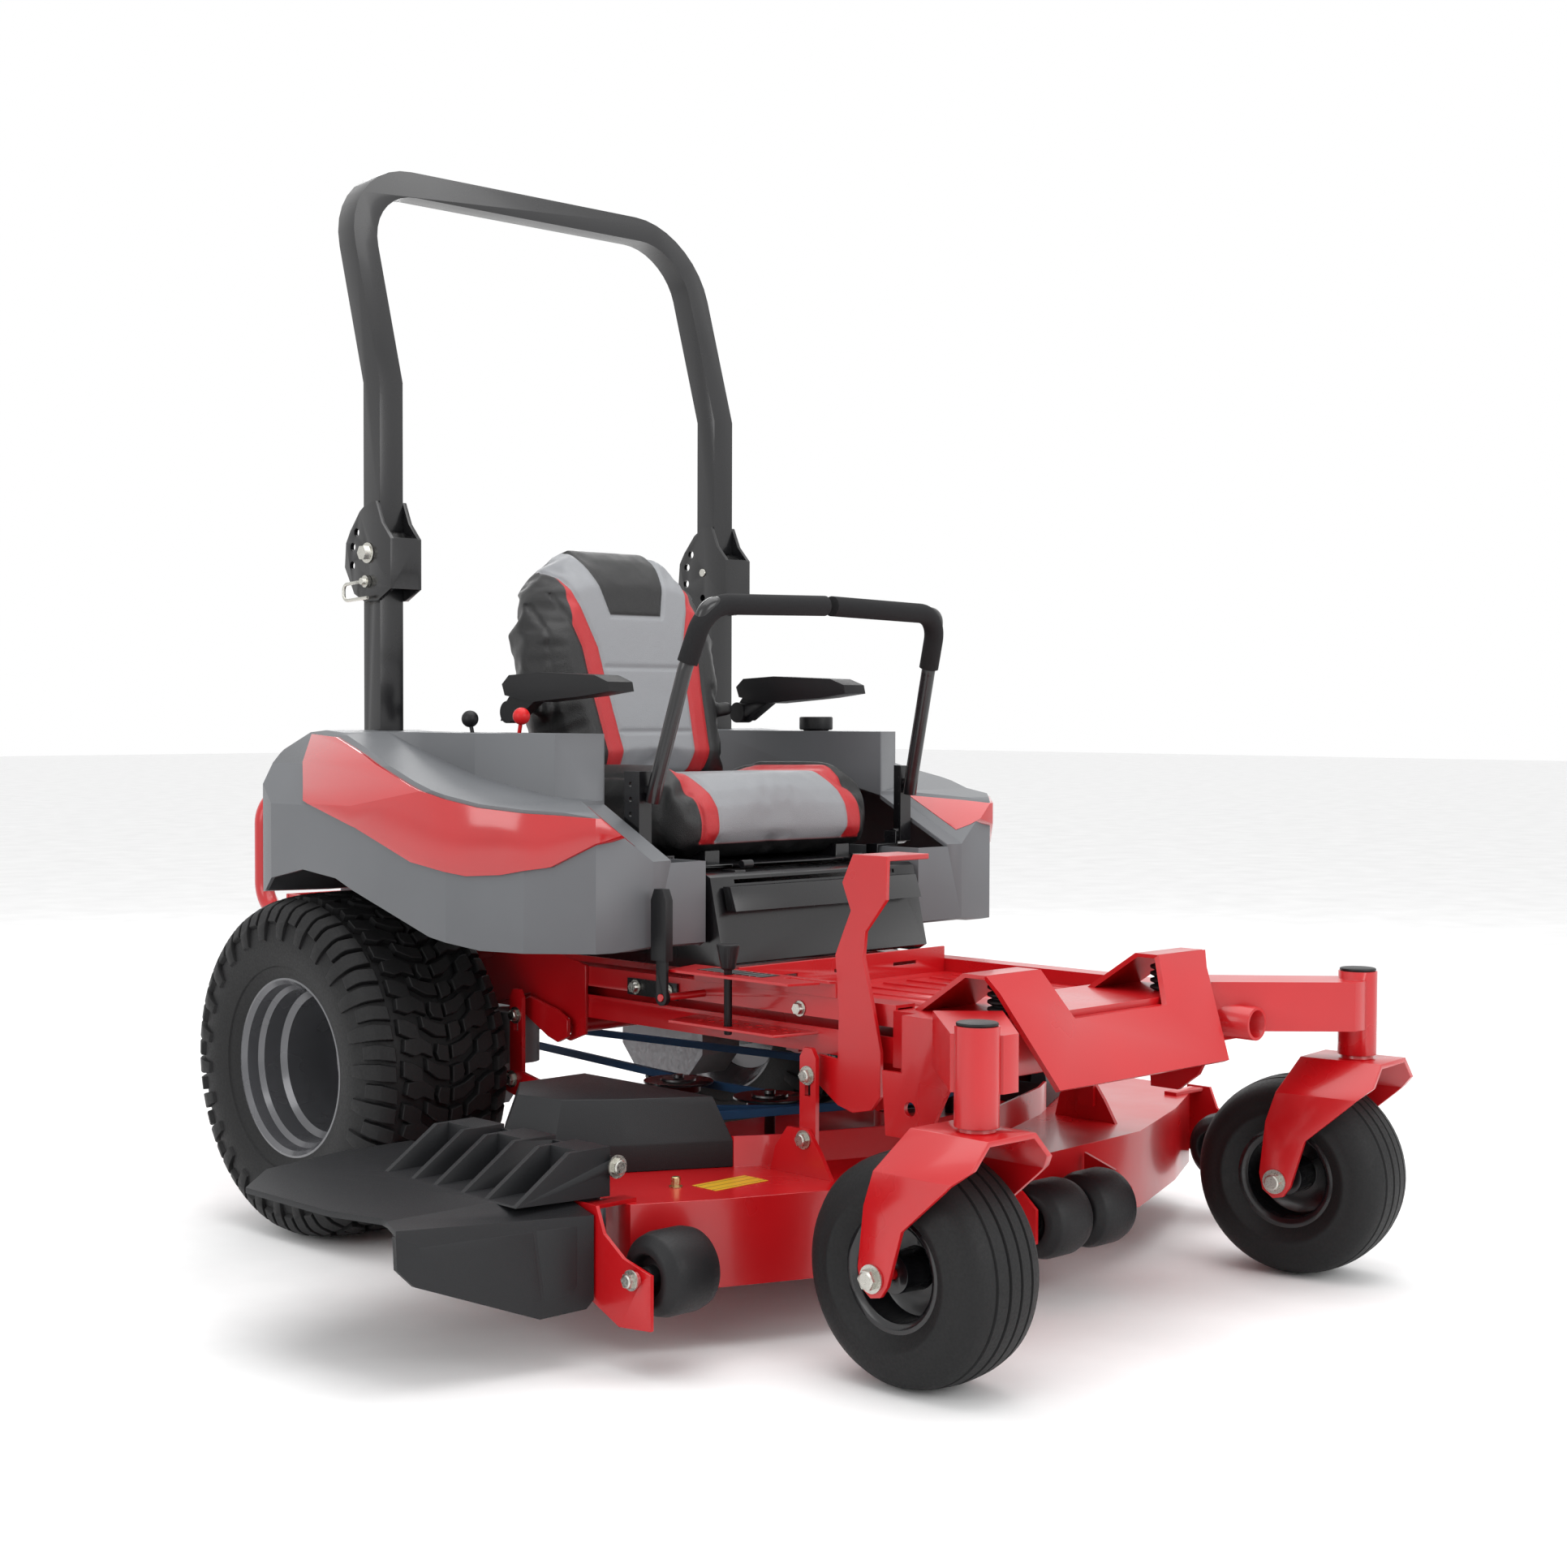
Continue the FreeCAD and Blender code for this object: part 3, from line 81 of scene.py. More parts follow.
class Wire:
    """A shader socket that can be used in arithmetic."""

    def __init__(self, coat, socket):
        self.coat, self.socket = coat, socket

    def worked(self, operation, *values):
        return self.coat.node("ShaderNodeMath", {"operation": operation}, list(values))

    def __add__(self, other):
        return self.worked("ADD", self, other)

    def __sub__(self, other):
        return self.worked("SUBTRACT", self, other)

    def __rsub__(self, other):
        return self.worked("SUBTRACT", other, self)

    def __mul__(self, other):
        return self.worked("MULTIPLY", self, other)

    def __abs__(self):
        return self.worked("ABSOLUTE", self)

    def above(self, other):
        return self.worked("MAXIMUM", self, other)

    __radd__, __rmul__ = __add__, __mul__


class Coat:
    """One finish: a principled shader and the nodes that feed it."""

    def __init__(self, name, colour, roughness, **fixed):
        self.material = bpy.data.materials.new(name)
        self.material.use_nodes = True
        self.tree = self.material.node_tree
        self.shader = self.tree.nodes["Principled BSDF"]
        self.shader.inputs["Base Color"].default_value = (*colour, 1)
        self.shader.inputs["Roughness"].default_value = roughness
        for socket_name, value in fixed.items():
            self.shader.inputs[socket_name.replace("_", " ")].default_value = value
        self.place = self.node("ShaderNodeTexCoord", {}, [], "Object")

    def node(self, kind, settings, inputs, out=0):
        made = self.tree.nodes.new(kind)
        for setting, value in settings.items():
            setattr(made, setting, value)
        pairs = inputs.items() if isinstance(inputs, dict) else enumerate(inputs)
        for socket_name, value in pairs:
            if isinstance(value, Wire):
                self.tree.links.new(value.socket, made.inputs[socket_name])
            else:
                made.inputs[socket_name].default_value = value
        return Wire(self, made.outputs[out])

    def noise(self, scale, detail=2.0, roughness=0.5):
        inputs = {"Vector": self.place, "Scale": scale, "Detail": detail, "Roughness": roughness}
        return self.node("ShaderNodeTexNoise", {}, inputs)

    def ramp(self, value, low, high, to_low=0.0, to_high=1.0):
        return self.node("ShaderNodeMapRange", {"clamp": True}, [value, low, high, to_low, to_high])

    def below(self, value, edge, soft=0.0006):
        """1 where a value is under an edge, fading over a small distance."""
        return self.ramp(value - edge, -soft, soft, 1.0, 0.0)

    def mixed(self, share, first, second):
        first, second = [v if isinstance(v, Wire) else (*v, 1) for v in (first, second)]
        return self.node("ShaderNodeMix", {"data_type": "RGBA"}, {0: share, 6: first, 7: second}, 2)

    def axes(self):
        split = self.node("ShaderNodeSeparateXYZ", {}, [self.place])
        return [Wire(self, split.socket.node.outputs[k]) for k in range(3)]

    def feed(self, colour, roughness, height, depth, strength):
        self.tree.links.new(colour.socket, self.shader.inputs["Base Color"])
        self.tree.links.new(roughness.socket, self.shader.inputs["Roughness"])
        bump = self.node("ShaderNodeBump", {}, {"Height": height, "Strength": strength, "Distance": depth})
        self.tree.links.new(bump.socket, self.shader.inputs["Normal"])
        return self


def powder_coat(name, colour, roughness=0.3, clear=0.35):
    """Baked paint with a faint orange peel."""
    coat = Coat(name, colour, roughness, Coat_Weight=clear, Coat_Roughness=0.12)
    cloud = coat.noise(7.0, 3)
    tone = coat.mixed(cloud, [c * 0.88 for c in colour], [c * 1.08 for c in colour])
    rough = coat.ramp(cloud, 0.3, 0.7, roughness - 0.04, roughness + 0.06)
    return coat.feed(tone, rough, coat.noise(420.0), 0.00025, 0.25)


def moulded(name, colour, roughness, grain=900.0, depth=0.00025):
    """Plastic or rubber with the fine texture of its mould."""
    coat = Coat(name, colour, roughness, Specular_IOR_Level=0.32)
    spark = coat.noise(grain, 2, 0.6)
    tone = coat.mixed(coat.noise(5.0, 3), [c * 0.9 for c in colour], [min(0.96, c * 1.1) for c in colour])
    rough = coat.ramp(spark, 0.3, 0.7, roughness - 0.05, roughness + 0.08)
    return coat.feed(tone, rough, spark, depth, 0.5)


def metal(name, colour, roughness, grain=300.0):
    coat = Coat(name, colour, roughness, Metallic=1.0)
    mottle = coat.noise(grain, 3)
    tone = coat.mixed(mottle, [c * 0.75 for c in colour], colour)
    rough = coat.ramp(mottle, 0.3, 0.7, roughness - 0.08, roughness + 0.1)
    return coat.feed(tone, rough, mottle, 0.0001, 0.3)


def new_object(name, bm):
    mesh = bpy.data.meshes.new(name)
    bm.to_mesh(mesh)
    bm.free()
    made = bpy.data.objects.new(name, mesh)
    bpy.context.scene.collection.objects.link(made)
    return made


FLOOR_HALF = 40
bm = bmesh.new()
bmesh.ops.create_grid(bm, x_segments=2, y_segments=2, size=FLOOR_HALF)
floor = new_object("studio_floor", bm)
floor.data.materials.append(moulded("studio_paper", (0.90, 0.90, 0.90), 0.7, 60.0, 0.0001).material)


def soft_light(name, place, target, size, power):
    """A rectangular lamp at a place, turned to its target; size is in metres and power in watts."""
    data = bpy.data.lights.new(name, "AREA")
    data.shape = "RECTANGLE"
    data.size, data.size_y = size
    data.energy = power
    lamp = bpy.data.objects.new(name, data)
    lamp.location = place
    lamp.rotation_euler = (Vector(target) - Vector(place)).to_track_quat("-Z", "Y").to_euler()
    bpy.context.scene.collection.objects.link(lamp)


soft_light("overhead", (0, -0.3, 4.6), (0, 0, 0), (4.5, 4.5), 130)
soft_light("front_panel", (0.4, -5.4, 2.4), (0, -0.2, 0.7), (3.4, 2.4), 75)
soft_light("right_panel", (-5.2, -0.2, 2.4), (0, 0, 0.7), (2.6, 2.4), 50)
soft_light("rear_panel", (3.4, 4.2, 3.2), (0, 0, 0.8), (3.0, 2.4), 60)
world = bpy.data.worlds.new("white_room")
world.use_nodes = True
world.node_tree.nodes["Background"].inputs["Color"].default_value = (1, 1, 1, 1)
world.node_tree.nodes["Background"].inputs["Strength"].default_value = 1.0
bpy.context.scene.world = world
bpy.context.scene.view_settings.view_transform = "Standard"

# The camera's heading, tilt and lean are in radians. The lens is in millimetres, on a film 36 wide,
# and its shift is a share of that width.
HEADING, TILT, LEAN = -0.754692, 0.031888, 0.0020816
CAMERA_PLACE = at(-2845.29, -3385.87, 931.61)
FILM_WIDTH, LENS_LENGTH, LENS_SHIFT = 36, 52.1088, 0.051875
back = Vector((math.sin(HEADING) * math.cos(TILT), -math.cos(HEADING) * math.cos(TILT), math.sin(TILT)))
across = Vector((0, 0, 1)).cross(back).normalized()
upward = back.cross(across)
right = across * math.cos(LEAN) + upward * math.sin(LEAN)
top = upward * math.cos(LEAN) - across * math.sin(LEAN)
lens = bpy.data.cameras.new("camera")
lens.sensor_width = FILM_WIDTH
lens.lens = LENS_LENGTH
lens.shift_x = LENS_SHIFT
camera = bpy.data.objects.new("camera", lens)
stance = Matrix((right, top, back)).transposed().to_4x4()
camera.matrix_world = Matrix.Translation(CAMERA_PLACE) @ stance
bpy.context.scene.collection.objects.link(camera)
bpy.context.scene.camera = camera


# ---- Main frame --------------------------------------------------------------------------------
# Channel rails, cross beam, floor pan and footrest of folded and welded sheet steel, powder coated
# red, with every cut edge slightly rounded.
def finished(made, coat, body, smooth=30):
    """Give a piece its finish and smooth shading, and let it ride with a body."""
    made.data.materials.clear()
    made.data.materials.append(coat.material)
    made.data.shade_smooth()
    made.data.set_sharp_from_angle(angle=math.radians(smooth))
    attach(made, body)
    return made


SAME_PLACE = 1e-5
FLAT_ANGLE = math.radians(0.6)


def copied(node):
    """The node's mesh as a bmesh with its doubles merged and its flat faces joined."""
    bm = bmesh.new()
    bm.from_mesh(frame["nodes"][node].data)
    bmesh.ops.remove_doubles(bm, verts=bm.verts, dist=SAME_PLACE)
    bmesh.ops.dissolve_limit(bm, angle_limit=FLAT_ANGLE, verts=bm.verts, edges=bm.edges)
    return bm


def eased(node, coat, edge=0.9, segments=1, smooth=30, over=30, long=0, trim=None):
    """The node's own shape with its sharp corners rounded off, standing in for it.

    edge is the width of the rounding in millimetres. Only corners sharper than over degrees and
    longer than long millimetres are rounded. trim is a plane, (place, outward), that ends the shape.
    """
    bm = copied(node)
    if trim:
        bmesh.ops.bisect_plane(bm, geom=bm.verts[:] + bm.edges[:] + bm.faces[:], plane_co=trim[0],
                               plane_no=trim[1], clear_outer=True)
        bmesh.ops.holes_fill(bm, edges=[e for e in bm.edges if e.is_boundary], sides=0)
    corners = [e for e in bm.edges if len(e.link_faces) == 2
               and e.calc_face_angle(0) > math.radians(over) and e.calc_length() > long / 1000]
    bmesh.ops.bevel(bm, geom=corners, offset=edge / 1000, offset_type="OFFSET", segments=segments,
                    profile=0.5, affect="EDGES", clamp_overlap=True, material=-1, loop_slide=True)
    made = new_object(node + "_shown", bm)
    finished(made, coat, frame["nodes"][node]["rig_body"], smooth)
    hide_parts(node)
    return made


def islands(bm):
    """The separate closed pieces of a mesh, as lists of faces."""
    left, found = set(bm.faces), []
    while left:
        queue, piece = [left.pop()], []
        while queue:
            face = queue.pop()
            piece.append(face)
            near = {other for e in face.edges for other in e.link_faces if other in left}
            left -= near
            queue.extend(near)
        found.append(piece)
    return found


def recoat(made, coat, chosen):
    """Give a second finish to the separate pieces that are chosen by their own size (mm)."""
    made.data.materials.append(coat.material)
    bm = bmesh.new()
    bm.from_mesh(made.data)
    for piece in islands(bm):
        places = [v.co for face in piece for v in face.verts]
        low = Vector([min(p[k] for p in places) for k in range(3)])
        high = Vector([max(p[k] for p in places) for k in range(3)])
        if chosen((high - low) * 1000):
            for face in piece:
                face.material_index = 1
    bm.to_mesh(made.data)
    bm.free()


RED = (0.46, 0.0035, 0.0065)
red_coat = powder_coat("red_powder_coat", RED)
for node in ("frame_rails", "front_crossbeam", "floor_pan", "footrest", "rear_frame", "rear_guard"):
    eased(node, red_coat)
black_rubber = moulded("black_rubber", (0.007, 0.007, 0.008), 0.5, 300.0, 0.0002)
black_plastic = moulded("black_moulded_plastic", (0.006, 0.006, 0.007), 0.42)
eased("footrest_bellows", black_rubber)
eased("caster_caps", black_plastic, 2, 2)


# ---- Front casters -----------------------------------------------------------------------------
# Bent plate forks in red powder coat, black pressed rims, and smooth 13 inch tyres with shallow
# grooves round the tread and a raised ring on each flank. The axle bolts are zinc plated.
def spun(profile, steps=72):
    """A closed (along, radius) outline in millimetres turned round the X axis."""
    bm = bmesh.new()
    ring = [bm.verts.new((a / 1000, 0, r / 1000)) for a, r in profile]
    edges = [bm.edges.new(pair) for pair in zip(ring, ring[1:] + ring[:1])]
    bmesh.ops.spin(bm, geom=ring + edges, cent=(0, 0, 0), axis=(1, 0, 0), angle=math.tau, steps=steps,
                   use_merge=True)
    bmesh.ops.remove_doubles(bm, verts=bm.verts, dist=1e-6)
    bmesh.ops.recalc_face_normals(bm, faces=bm.faces)
    return bm


def both_flanks(half):
    """A tyre's whole outline from the (along, radius) points of one half, crown first."""
    return [(-a, r) for a, r in reversed(half) if a > 0] + half


WASHER_THICK = 2.2
HEAD_CHAMFER = 1.5


def hexagon(bm, place, across_flats, height, axis, washer=1.35):
    """A bolt head on a washer, standing out from a place along an axis."""
    axis = Vector(axis)
    stand = Vector((0, 0, 1)).rotation_difference(axis).to_matrix().to_4x4()
    r = across_flats / math.sqrt(3) / 1000
    layers = ((r * washer, 0, WASHER_THICK, 28), (r, WASHER_THICK, height - HEAD_CHAMFER, 6))
    for radius, low, high, sides in layers:
        mid = place + axis * (low + high) / 2000
        bmesh.ops.create_cone(bm, cap_ends=True, segments=sides, radius1=radius, radius2=radius,
                              depth=(high - low) / 1000, matrix=Matrix.Translation(mid) @ stand)
    mid = place + axis * (height - HEAD_CHAMFER / 2) / 1000
    bmesh.ops.create_cone(bm, cap_ends=True, segments=24, radius1=r * 0.86, radius2=r * 0.7,
                          depth=HEAD_CHAMFER / 1000, matrix=Matrix.Translation(mid) @ stand)


def bolts(name, body, spots, coat):
    """Bolt heads as one piece; each spot is (place, width across flats, height, axis)."""
    bm = bmesh.new()
    for place, size, height, axis in spots:
        hexagon(bm, place, size, height, axis)
    return finished(new_object(name, bm), coat, body)


black_coat = powder_coat("black_powder_coat", (0.005, 0.005, 0.006), 0.26, 0.25)
tyre_rubber = moulded("tyre_rubber", (0.0055, 0.0055, 0.006), 0.6, 240.0, 0.0003)
zinc = metal("zinc_plate", (0.62, 0.61, 0.56), 0.3)
yellow_zinc = metal("yellow_zinc_plate", (0.62, 0.53, 0.28), 0.3)
CASTER_HALF = [(0, 165), (9, 164.8), (10.5, 161.5), (13.5, 161.5), (15, 164.4), (34, 162.6), (35.5, 159.5),
               (38.5, 159), (40, 161.6), (56, 157.5), (68, 149), (76, 137), (80, 122), (80, 112), (82, 109),
               (81.5, 104), (78, 100), (74, 92), (67, 84), (62, 77)]
LEFT_CASTER_YAW = 8
AXLE_NUT_OUT = 0.1065
for side_name, yaw in (("r", 0), ("l", LEFT_CASTER_YAW)):
    eased("caster_fork_" + side_name, red_coat, 1.6, 2)
    eased("caster_rim_" + side_name, black_coat, 1.2, 2)
    bm = spun(both_flanks(CASTER_HALF))
    swing = Matrix.Rotation(math.radians(yaw), 4, "Z")
    centre = middle("caster_rim_" + side_name)
    bmesh.ops.transform(bm, matrix=Matrix.Translation(centre) @ swing, verts=bm.verts)
    tyre = new_object("caster_tyre_%s_shown" % side_name, bm)
    finished(tyre, tyre_rubber, "caster_wheel_" + side_name, 40)
    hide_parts("caster_tyre_" + side_name)
    axle = swing.to_3x3() @ Vector((1, 0, 0))
    spots = [(centre + axle * end * AXLE_NUT_OUT, 25.5, 13.5, axle * end) for end in (-1, 1)]
    bolts("caster_nuts_" + side_name, "caster_" + side_name, spots, zinc)


# ---- Cutting deck ------------------------------------------------------------------------------
# Welded red shell with its baffle, hangers and roller arms; dark steel blades and pulleys; a blue
# belt over black idlers; textured charcoal pulley covers, and black rollers on zinc bolts.
for node in ("deck_shell", "deck_brackets"):
    eased(node, red_coat)
dark_steel = metal("dark_steel", (0.13, 0.13, 0.14), 0.4)
for node in ("spindle_r", "spindle_l", "spindle_c"):
    eased(node, dark_steel, 0.8)
for node in ("roller_r", "roller_l", "roller_centre"):
    eased(node, black_rubber, 2.5, 2)
# The belt runs the length of the deck, so any shorter piece with it is an idler.
IDLER_LONGEST = 200
belt = eased("deck_belt", moulded("blue_belt", (0.006, 0.040, 0.105), 0.7, 900.0, 0.0004), 0.6)
recoat(belt, black_coat, lambda size: size.y < IDLER_LONGEST)
charcoal = moulded("charcoal_moulded_plastic", (0.011, 0.0115, 0.013), 0.46, 650.0, 0.0004)
eased("belt_covers", charcoal, 6, 3, over=12, long=20)
# Each bolt as its distance from the mid-plane, y, z and the height of its head.
DECK_BOLTS = ((352.2, -972, 374, 11), (360.2, -972, 276, 11), (352.2, -256, 396, 11),
              (360.2, -256, 284, 11), (768, -1035, 140, 12))
DECK_BOLT_SIZE = 19
DECK_STUD = at(-560, -900, 220.2)
deck_spots = [(at(sign * out, y, z), DECK_BOLT_SIZE, height, (sign, 0, 0))
              for sign in (-1, 1) for out, y, z, height in DECK_BOLTS]
bolts("hanger_bolts", "deck", deck_spots, zinc)
bolts("deck_stud", "deck", [(DECK_STUD, 13, 16, (0, 0, 1))], yellow_zinc)


STICKER_EDGE = 0.0002


def label(name, body, place, size, coat):
    """A thin sticker, size (x, y, z) in millimetres, with rounded edges."""
    bm = bmesh.new()
    scaled = Matrix.Diagonal((*[s / 1000 for s in size], 1))
    bmesh.ops.create_cube(bm, size=1.0, matrix=Matrix.Translation(place) @ scaled)
    bmesh.ops.bevel(bm, geom=bm.edges, offset=STICKER_EDGE, segments=1, profile=0.5, affect="EDGES",
                    material=-1)
    finished(new_object(name, bm), coat, body)


def ruled(name, paper, ink, pitch, axis):
    """A sticker finish: plain ground with ruled lines every pitch millimetres along an axis."""
    coat = Coat(name, paper, 0.35)
    along = coat.axes()[axis]
    wave = along.worked("PINGPONG", along, pitch / 2000)
    ground = coat.ramp(wave, 0.0006, 0.001)
    rough = coat.ramp(ground, 0, 1, 0.45, 0.35)
    return coat.feed(coat.mixed(ground, ink, paper), rough, ground, 0.00005, 0.2)


yellow_label = ruled("yellow_label", (0.62, 0.36, 0.02), (0.02, 0.02, 0.02), 18, 1)
label("deck_label", "deck", at(-480, -935, 220.4), (110, 52, 0.5), yellow_label)
black_label = ruled("black_label", (0.012, 0.012, 0.012), (0.5, 0.5, 0.5), 16, 1)
label("height_label", "frame", at(-334, -800, 516.4), (40, 150, 0.5), black_label)


# ---- Discharge chute ---------------------------------------------------------------------------
# One heavy black moulding hinged to the deck: a wide lip, three open louvres and a deep front
# skirt with raised panels. Its hinge bolt is zinc plated.
eased("discharge_chute", charcoal, 3.2, 3, over=14, long=9)
CHUTE_HINGE_END = at(-700, -926.2, 274)
bolts("chute_bolts", "chute", [(CHUTE_HINGE_END, 22, 10, (0, -1, 0))], zinc)


def plate_on(points, thick, bevel):
    """A flat cornered panel through given corners, thickened along its normal with soft edges."""
    bm = bmesh.new()
    face = bm.faces.new([bm.verts.new(p) for p in points])
    face.normal_update()
    side = bmesh.ops.extrude_face_region(bm, geom=[face])["geom"]
    raised = [v for v in side if isinstance(v, bmesh.types.BMVert)]
    bmesh.ops.translate(bm, verts=raised, vec=face.normal * thick / 1000)
    bmesh.ops.recalc_face_normals(bm, faces=bm.faces)
    bmesh.ops.bevel(bm, geom=bm.edges, offset=bevel / 1000, segments=3, profile=0.5, affect="EDGES",
                    material=-1, clamp_overlap=True)
    return bm


SKIRT_END_X, SKIRT_END_Y = -1068, -896
SKIRT_SLANT = 54 / 304


def skirt_y(x):
    """Where the skirt's front face stands, slanting forward from its outer end."""
    return SKIRT_END_Y - (x - SKIRT_END_X) * SKIRT_SLANT


# The (x, z) corners of the raised panels, which start just under the skirt's face.
PANEL_SUNK = 0.2
SKIRT_PANELS = (((-1036, 206), (-1030, 178), (-1012, 168), (-866, 104), (-846, 104), (-860, 206)),
                ((-857, 206), (-843, 104), (-800, 108), (-790, 120), (-790, 206)))
for k, outline in enumerate(SKIRT_PANELS):
    bm = plate_on([at(x, skirt_y(x) - PANEL_SUNK, z) for x, z in outline], 4.5, 1.8)
    finished(new_object("skirt_panel_%d" % k, bm), charcoal, "chute")


# ---- Drive wheels ------------------------------------------------------------------------------
# 24 inch tyres with an all-terrain tread: zig-zag blocks over the crown and long shoulder lugs
# that run onto the flank, on deep stepped steel rims in metallic grey with black hub parts.
TYRE_HALF = [(0, 292.5), (36, 292), (70, 290.5), (100, 286.5), (120, 279.5), (134, 268), (143, 250), (147, 230),
             (147, 206), (142, 186), (140, 180), (137, 178), (133, 166), (126, 155)]
TYRE_RADIUS = 305
PITCHES = 26
PITCH = math.tau * TYRE_RADIUS / PITCHES
# Each lug of one pitch as (across, round) corners in millimetres, measured along the tyre's skin.
LUGS = [[(2, 0), (26, 4), (50, 22), (50, 44), (27, 31), (2, 24)],
        [(2, 31), (24, 37), (29, 50), (24, 67), (2, 62)],
        [(34, 42), (56, 52), (72, 48), (92, 58), (88, 80), (56, 82), (34, 66)],
        [(56, 2), (74, 4), (96, 16), (94, 44), (76, 40), (58, 28)],
        [(101, 6), (128, 10), (160, 14), (186, 18), (184, 44), (160, 45), (128, 42), (101, 34)],
        [(101, 41), (128, 49), (156, 52), (154, 80), (128, 78), (101, 68)]]


def on_tyre(s, t, lift):
    """Where a tread point lies: s mm from the crown along the section, t mm round, lift mm above."""
    left = abs(s)
    for (a0, r0), (a1, r1) in zip(TYRE_HALF, TYRE_HALF[1:]):
        run = math.hypot(a1 - a0, r1 - r0)
        if left <= run:
            break
        left -= run
    share = left / run
    lean_out = math.copysign(1, s)
    a = (a0 + (a1 - a0) * share - (r1 - r0) / run * lift) * lean_out
    r = r0 + (r1 - r0) * share + (a1 - a0) / run * lift
    turned = t / TYRE_RADIUS
    return Vector((a, -math.sin(turned) * r, math.cos(turned) * r)) / 1000


LUG_ROOT, LUG_TOP, LUG_TAPER, LUG_BEVEL = -1, 12, 0.92, 1.1
BEND_LINES = (40, 75, 112, 126, 138, 150, 162, 174)
SHOULDER, FLANK_RUN, FLANK_FADE = 128, 56, 0.66


def tread():
    """The lugs of the whole tyre: one pitch made flat, bent onto the skin, and spun round.

    They are cut where the skin bends, and get lower from the shoulder down the flank.
    """
    bm = bmesh.new()
    for sign, offset in ((-1, 0), (1, PITCH / 2)):
        for outline in LUGS:
            face = bm.faces.new([bm.verts.new((s * sign, t + offset, LUG_ROOT)) for s, t in outline])
            grown = bmesh.ops.extrude_face_region(bm, geom=[face])["geom"]
            raised = [v for v in grown if isinstance(v, bmesh.types.BMVert)]
            bmesh.ops.translate(bm, verts=raised, vec=(0, 0, LUG_TOP - LUG_ROOT))
            centre = sum((v.co for v in raised), Vector()) / len(raised)
            for v in raised:
                v.co.xy = centre.xy + (v.co.xy - centre.xy) * LUG_TAPER
    bmesh.ops.recalc_face_normals(bm, faces=bm.faces)
    tops = [e for e in bm.edges if all(v.co.z > LUG_TOP - 1 for v in e.verts)]
    bmesh.ops.bevel(bm, geom=tops, offset=LUG_BEVEL, segments=1, profile=0.5, affect="EDGES", material=-1)
    for s in [sign * line for sign in (-1, 1) for line in BEND_LINES]:
        bmesh.ops.bisect_plane(bm, geom=bm.verts[:] + bm.edges[:] + bm.faces[:], plane_co=(s, 0, 0),
                               plane_no=(1, 0, 0))
    for v in bm.verts:
        fade = 1 - FLANK_FADE * min(1, max(0, (abs(v.co.x) - SHOULDER) / FLANK_RUN))
        v.co = on_tyre(v.co.x, v.co.y, v.co.z * fade)
    bmesh.ops.spin(bm, geom=bm.verts[:] + bm.edges[:] + bm.faces[:], cent=(0, 0, 0), axis=(1, 0, 0),
                   angle=math.tau * (PITCHES - 1) / PITCHES, steps=PITCHES - 1, use_duplicate=True)
    return bm


RIM = [(128, 154), (127, 166), (122, 168.5), (118, 166), (117, 152), (96, 149), (90, 141), (58, 138), (50, 127),
       (-58, 124), (-64, 118), (-66, 24), (-60, 24), (-58, 112), (-52, 119), (52, 122), (60, 133), (92, 136),
       (100, 144), (120, 147)]
BACK_RIM = [(-60, 124), (-96, 140), (-110, 149), (-118, 152), (-119, 166), (-123, 168.5), (-128, 166),
            (-128, 154), (-118, 146), (-98, 136), (-66, 119)]
gunmetal = powder_coat("gunmetal_paint", (0.105, 0.106, 0.114), 0.24, 0.6)
gunmetal.shader.inputs["Metallic"].default_value = 0.35
WHEEL_X = 528
STUDS = 5
# The rim's stud holes, and the hub's discs as (radius, depth, along), all in metres.
HOLE_RADIUS, HOLE_DEPTH, HOLE_OUT, HOLE_ALONG = 0.0135, 0.002, 0.092, -0.0575
HUB_DISCS = ((0.068, 0.012, -0.072), (0.024, 0.03, -0.052), (0.034, 0.012, -0.06))
NUT_OUT, NUT_ALONG = 0.057, -0.058
CROSSWISE = Matrix.Rotation(math.pi / 2, 4, "Y")


def joined(bm, other):
    """Add another bmesh to one."""
    mesh = bpy.data.meshes.new("joined")
    other.to_mesh(mesh)
    other.free()
    bm.from_mesh(mesh)


def drive_tyre(side_name, outward):
    bm = spun(both_flanks(TYRE_HALF), 104)
    joined(bm, tread())
    bmesh.ops.transform(bm, matrix=outward, verts=bm.verts)
    tyre = new_object("drive_tyre_%s_shown" % side_name, bm)
    finished(tyre, tyre_rubber, "drive_wheel_" + side_name, 35)
    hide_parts("drive_tyre_" + side_name)


def drive_rim(side_name, outward):
    """Both spun halves of the rim, with its stud holes as thin black discs on the web: painted shade standing
    in for the dark seen through the openings.
    """
    bm = spun(RIM, 96)
    joined(bm, spun(BACK_RIM, 96))
    for k in range(STUDS):
        around = Matrix.Rotation(math.tau * k / STUDS, 4, "X")
        spot = around @ Matrix.Translation((HOLE_ALONG, 0, HOLE_OUT))
        bmesh.ops.create_cone(bm, cap_ends=True, segments=24, radius1=HOLE_RADIUS, radius2=HOLE_RADIUS,
                              depth=HOLE_DEPTH, matrix=spot @ CROSSWISE)
    bmesh.ops.transform(bm, matrix=outward, verts=bm.verts)
    rim = new_object("drive_rim_%s_shown" % side_name, bm)
    finished(rim, gunmetal, "drive_wheel_" + side_name, 28)
    # The stud-hole discs are coated black as painted shade for the openings, not as a part of their own.
    recoat(rim, black_coat, lambda size: size.x < 2 * HOLE_DEPTH * 1000)
    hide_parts("drive_rim_" + side_name)


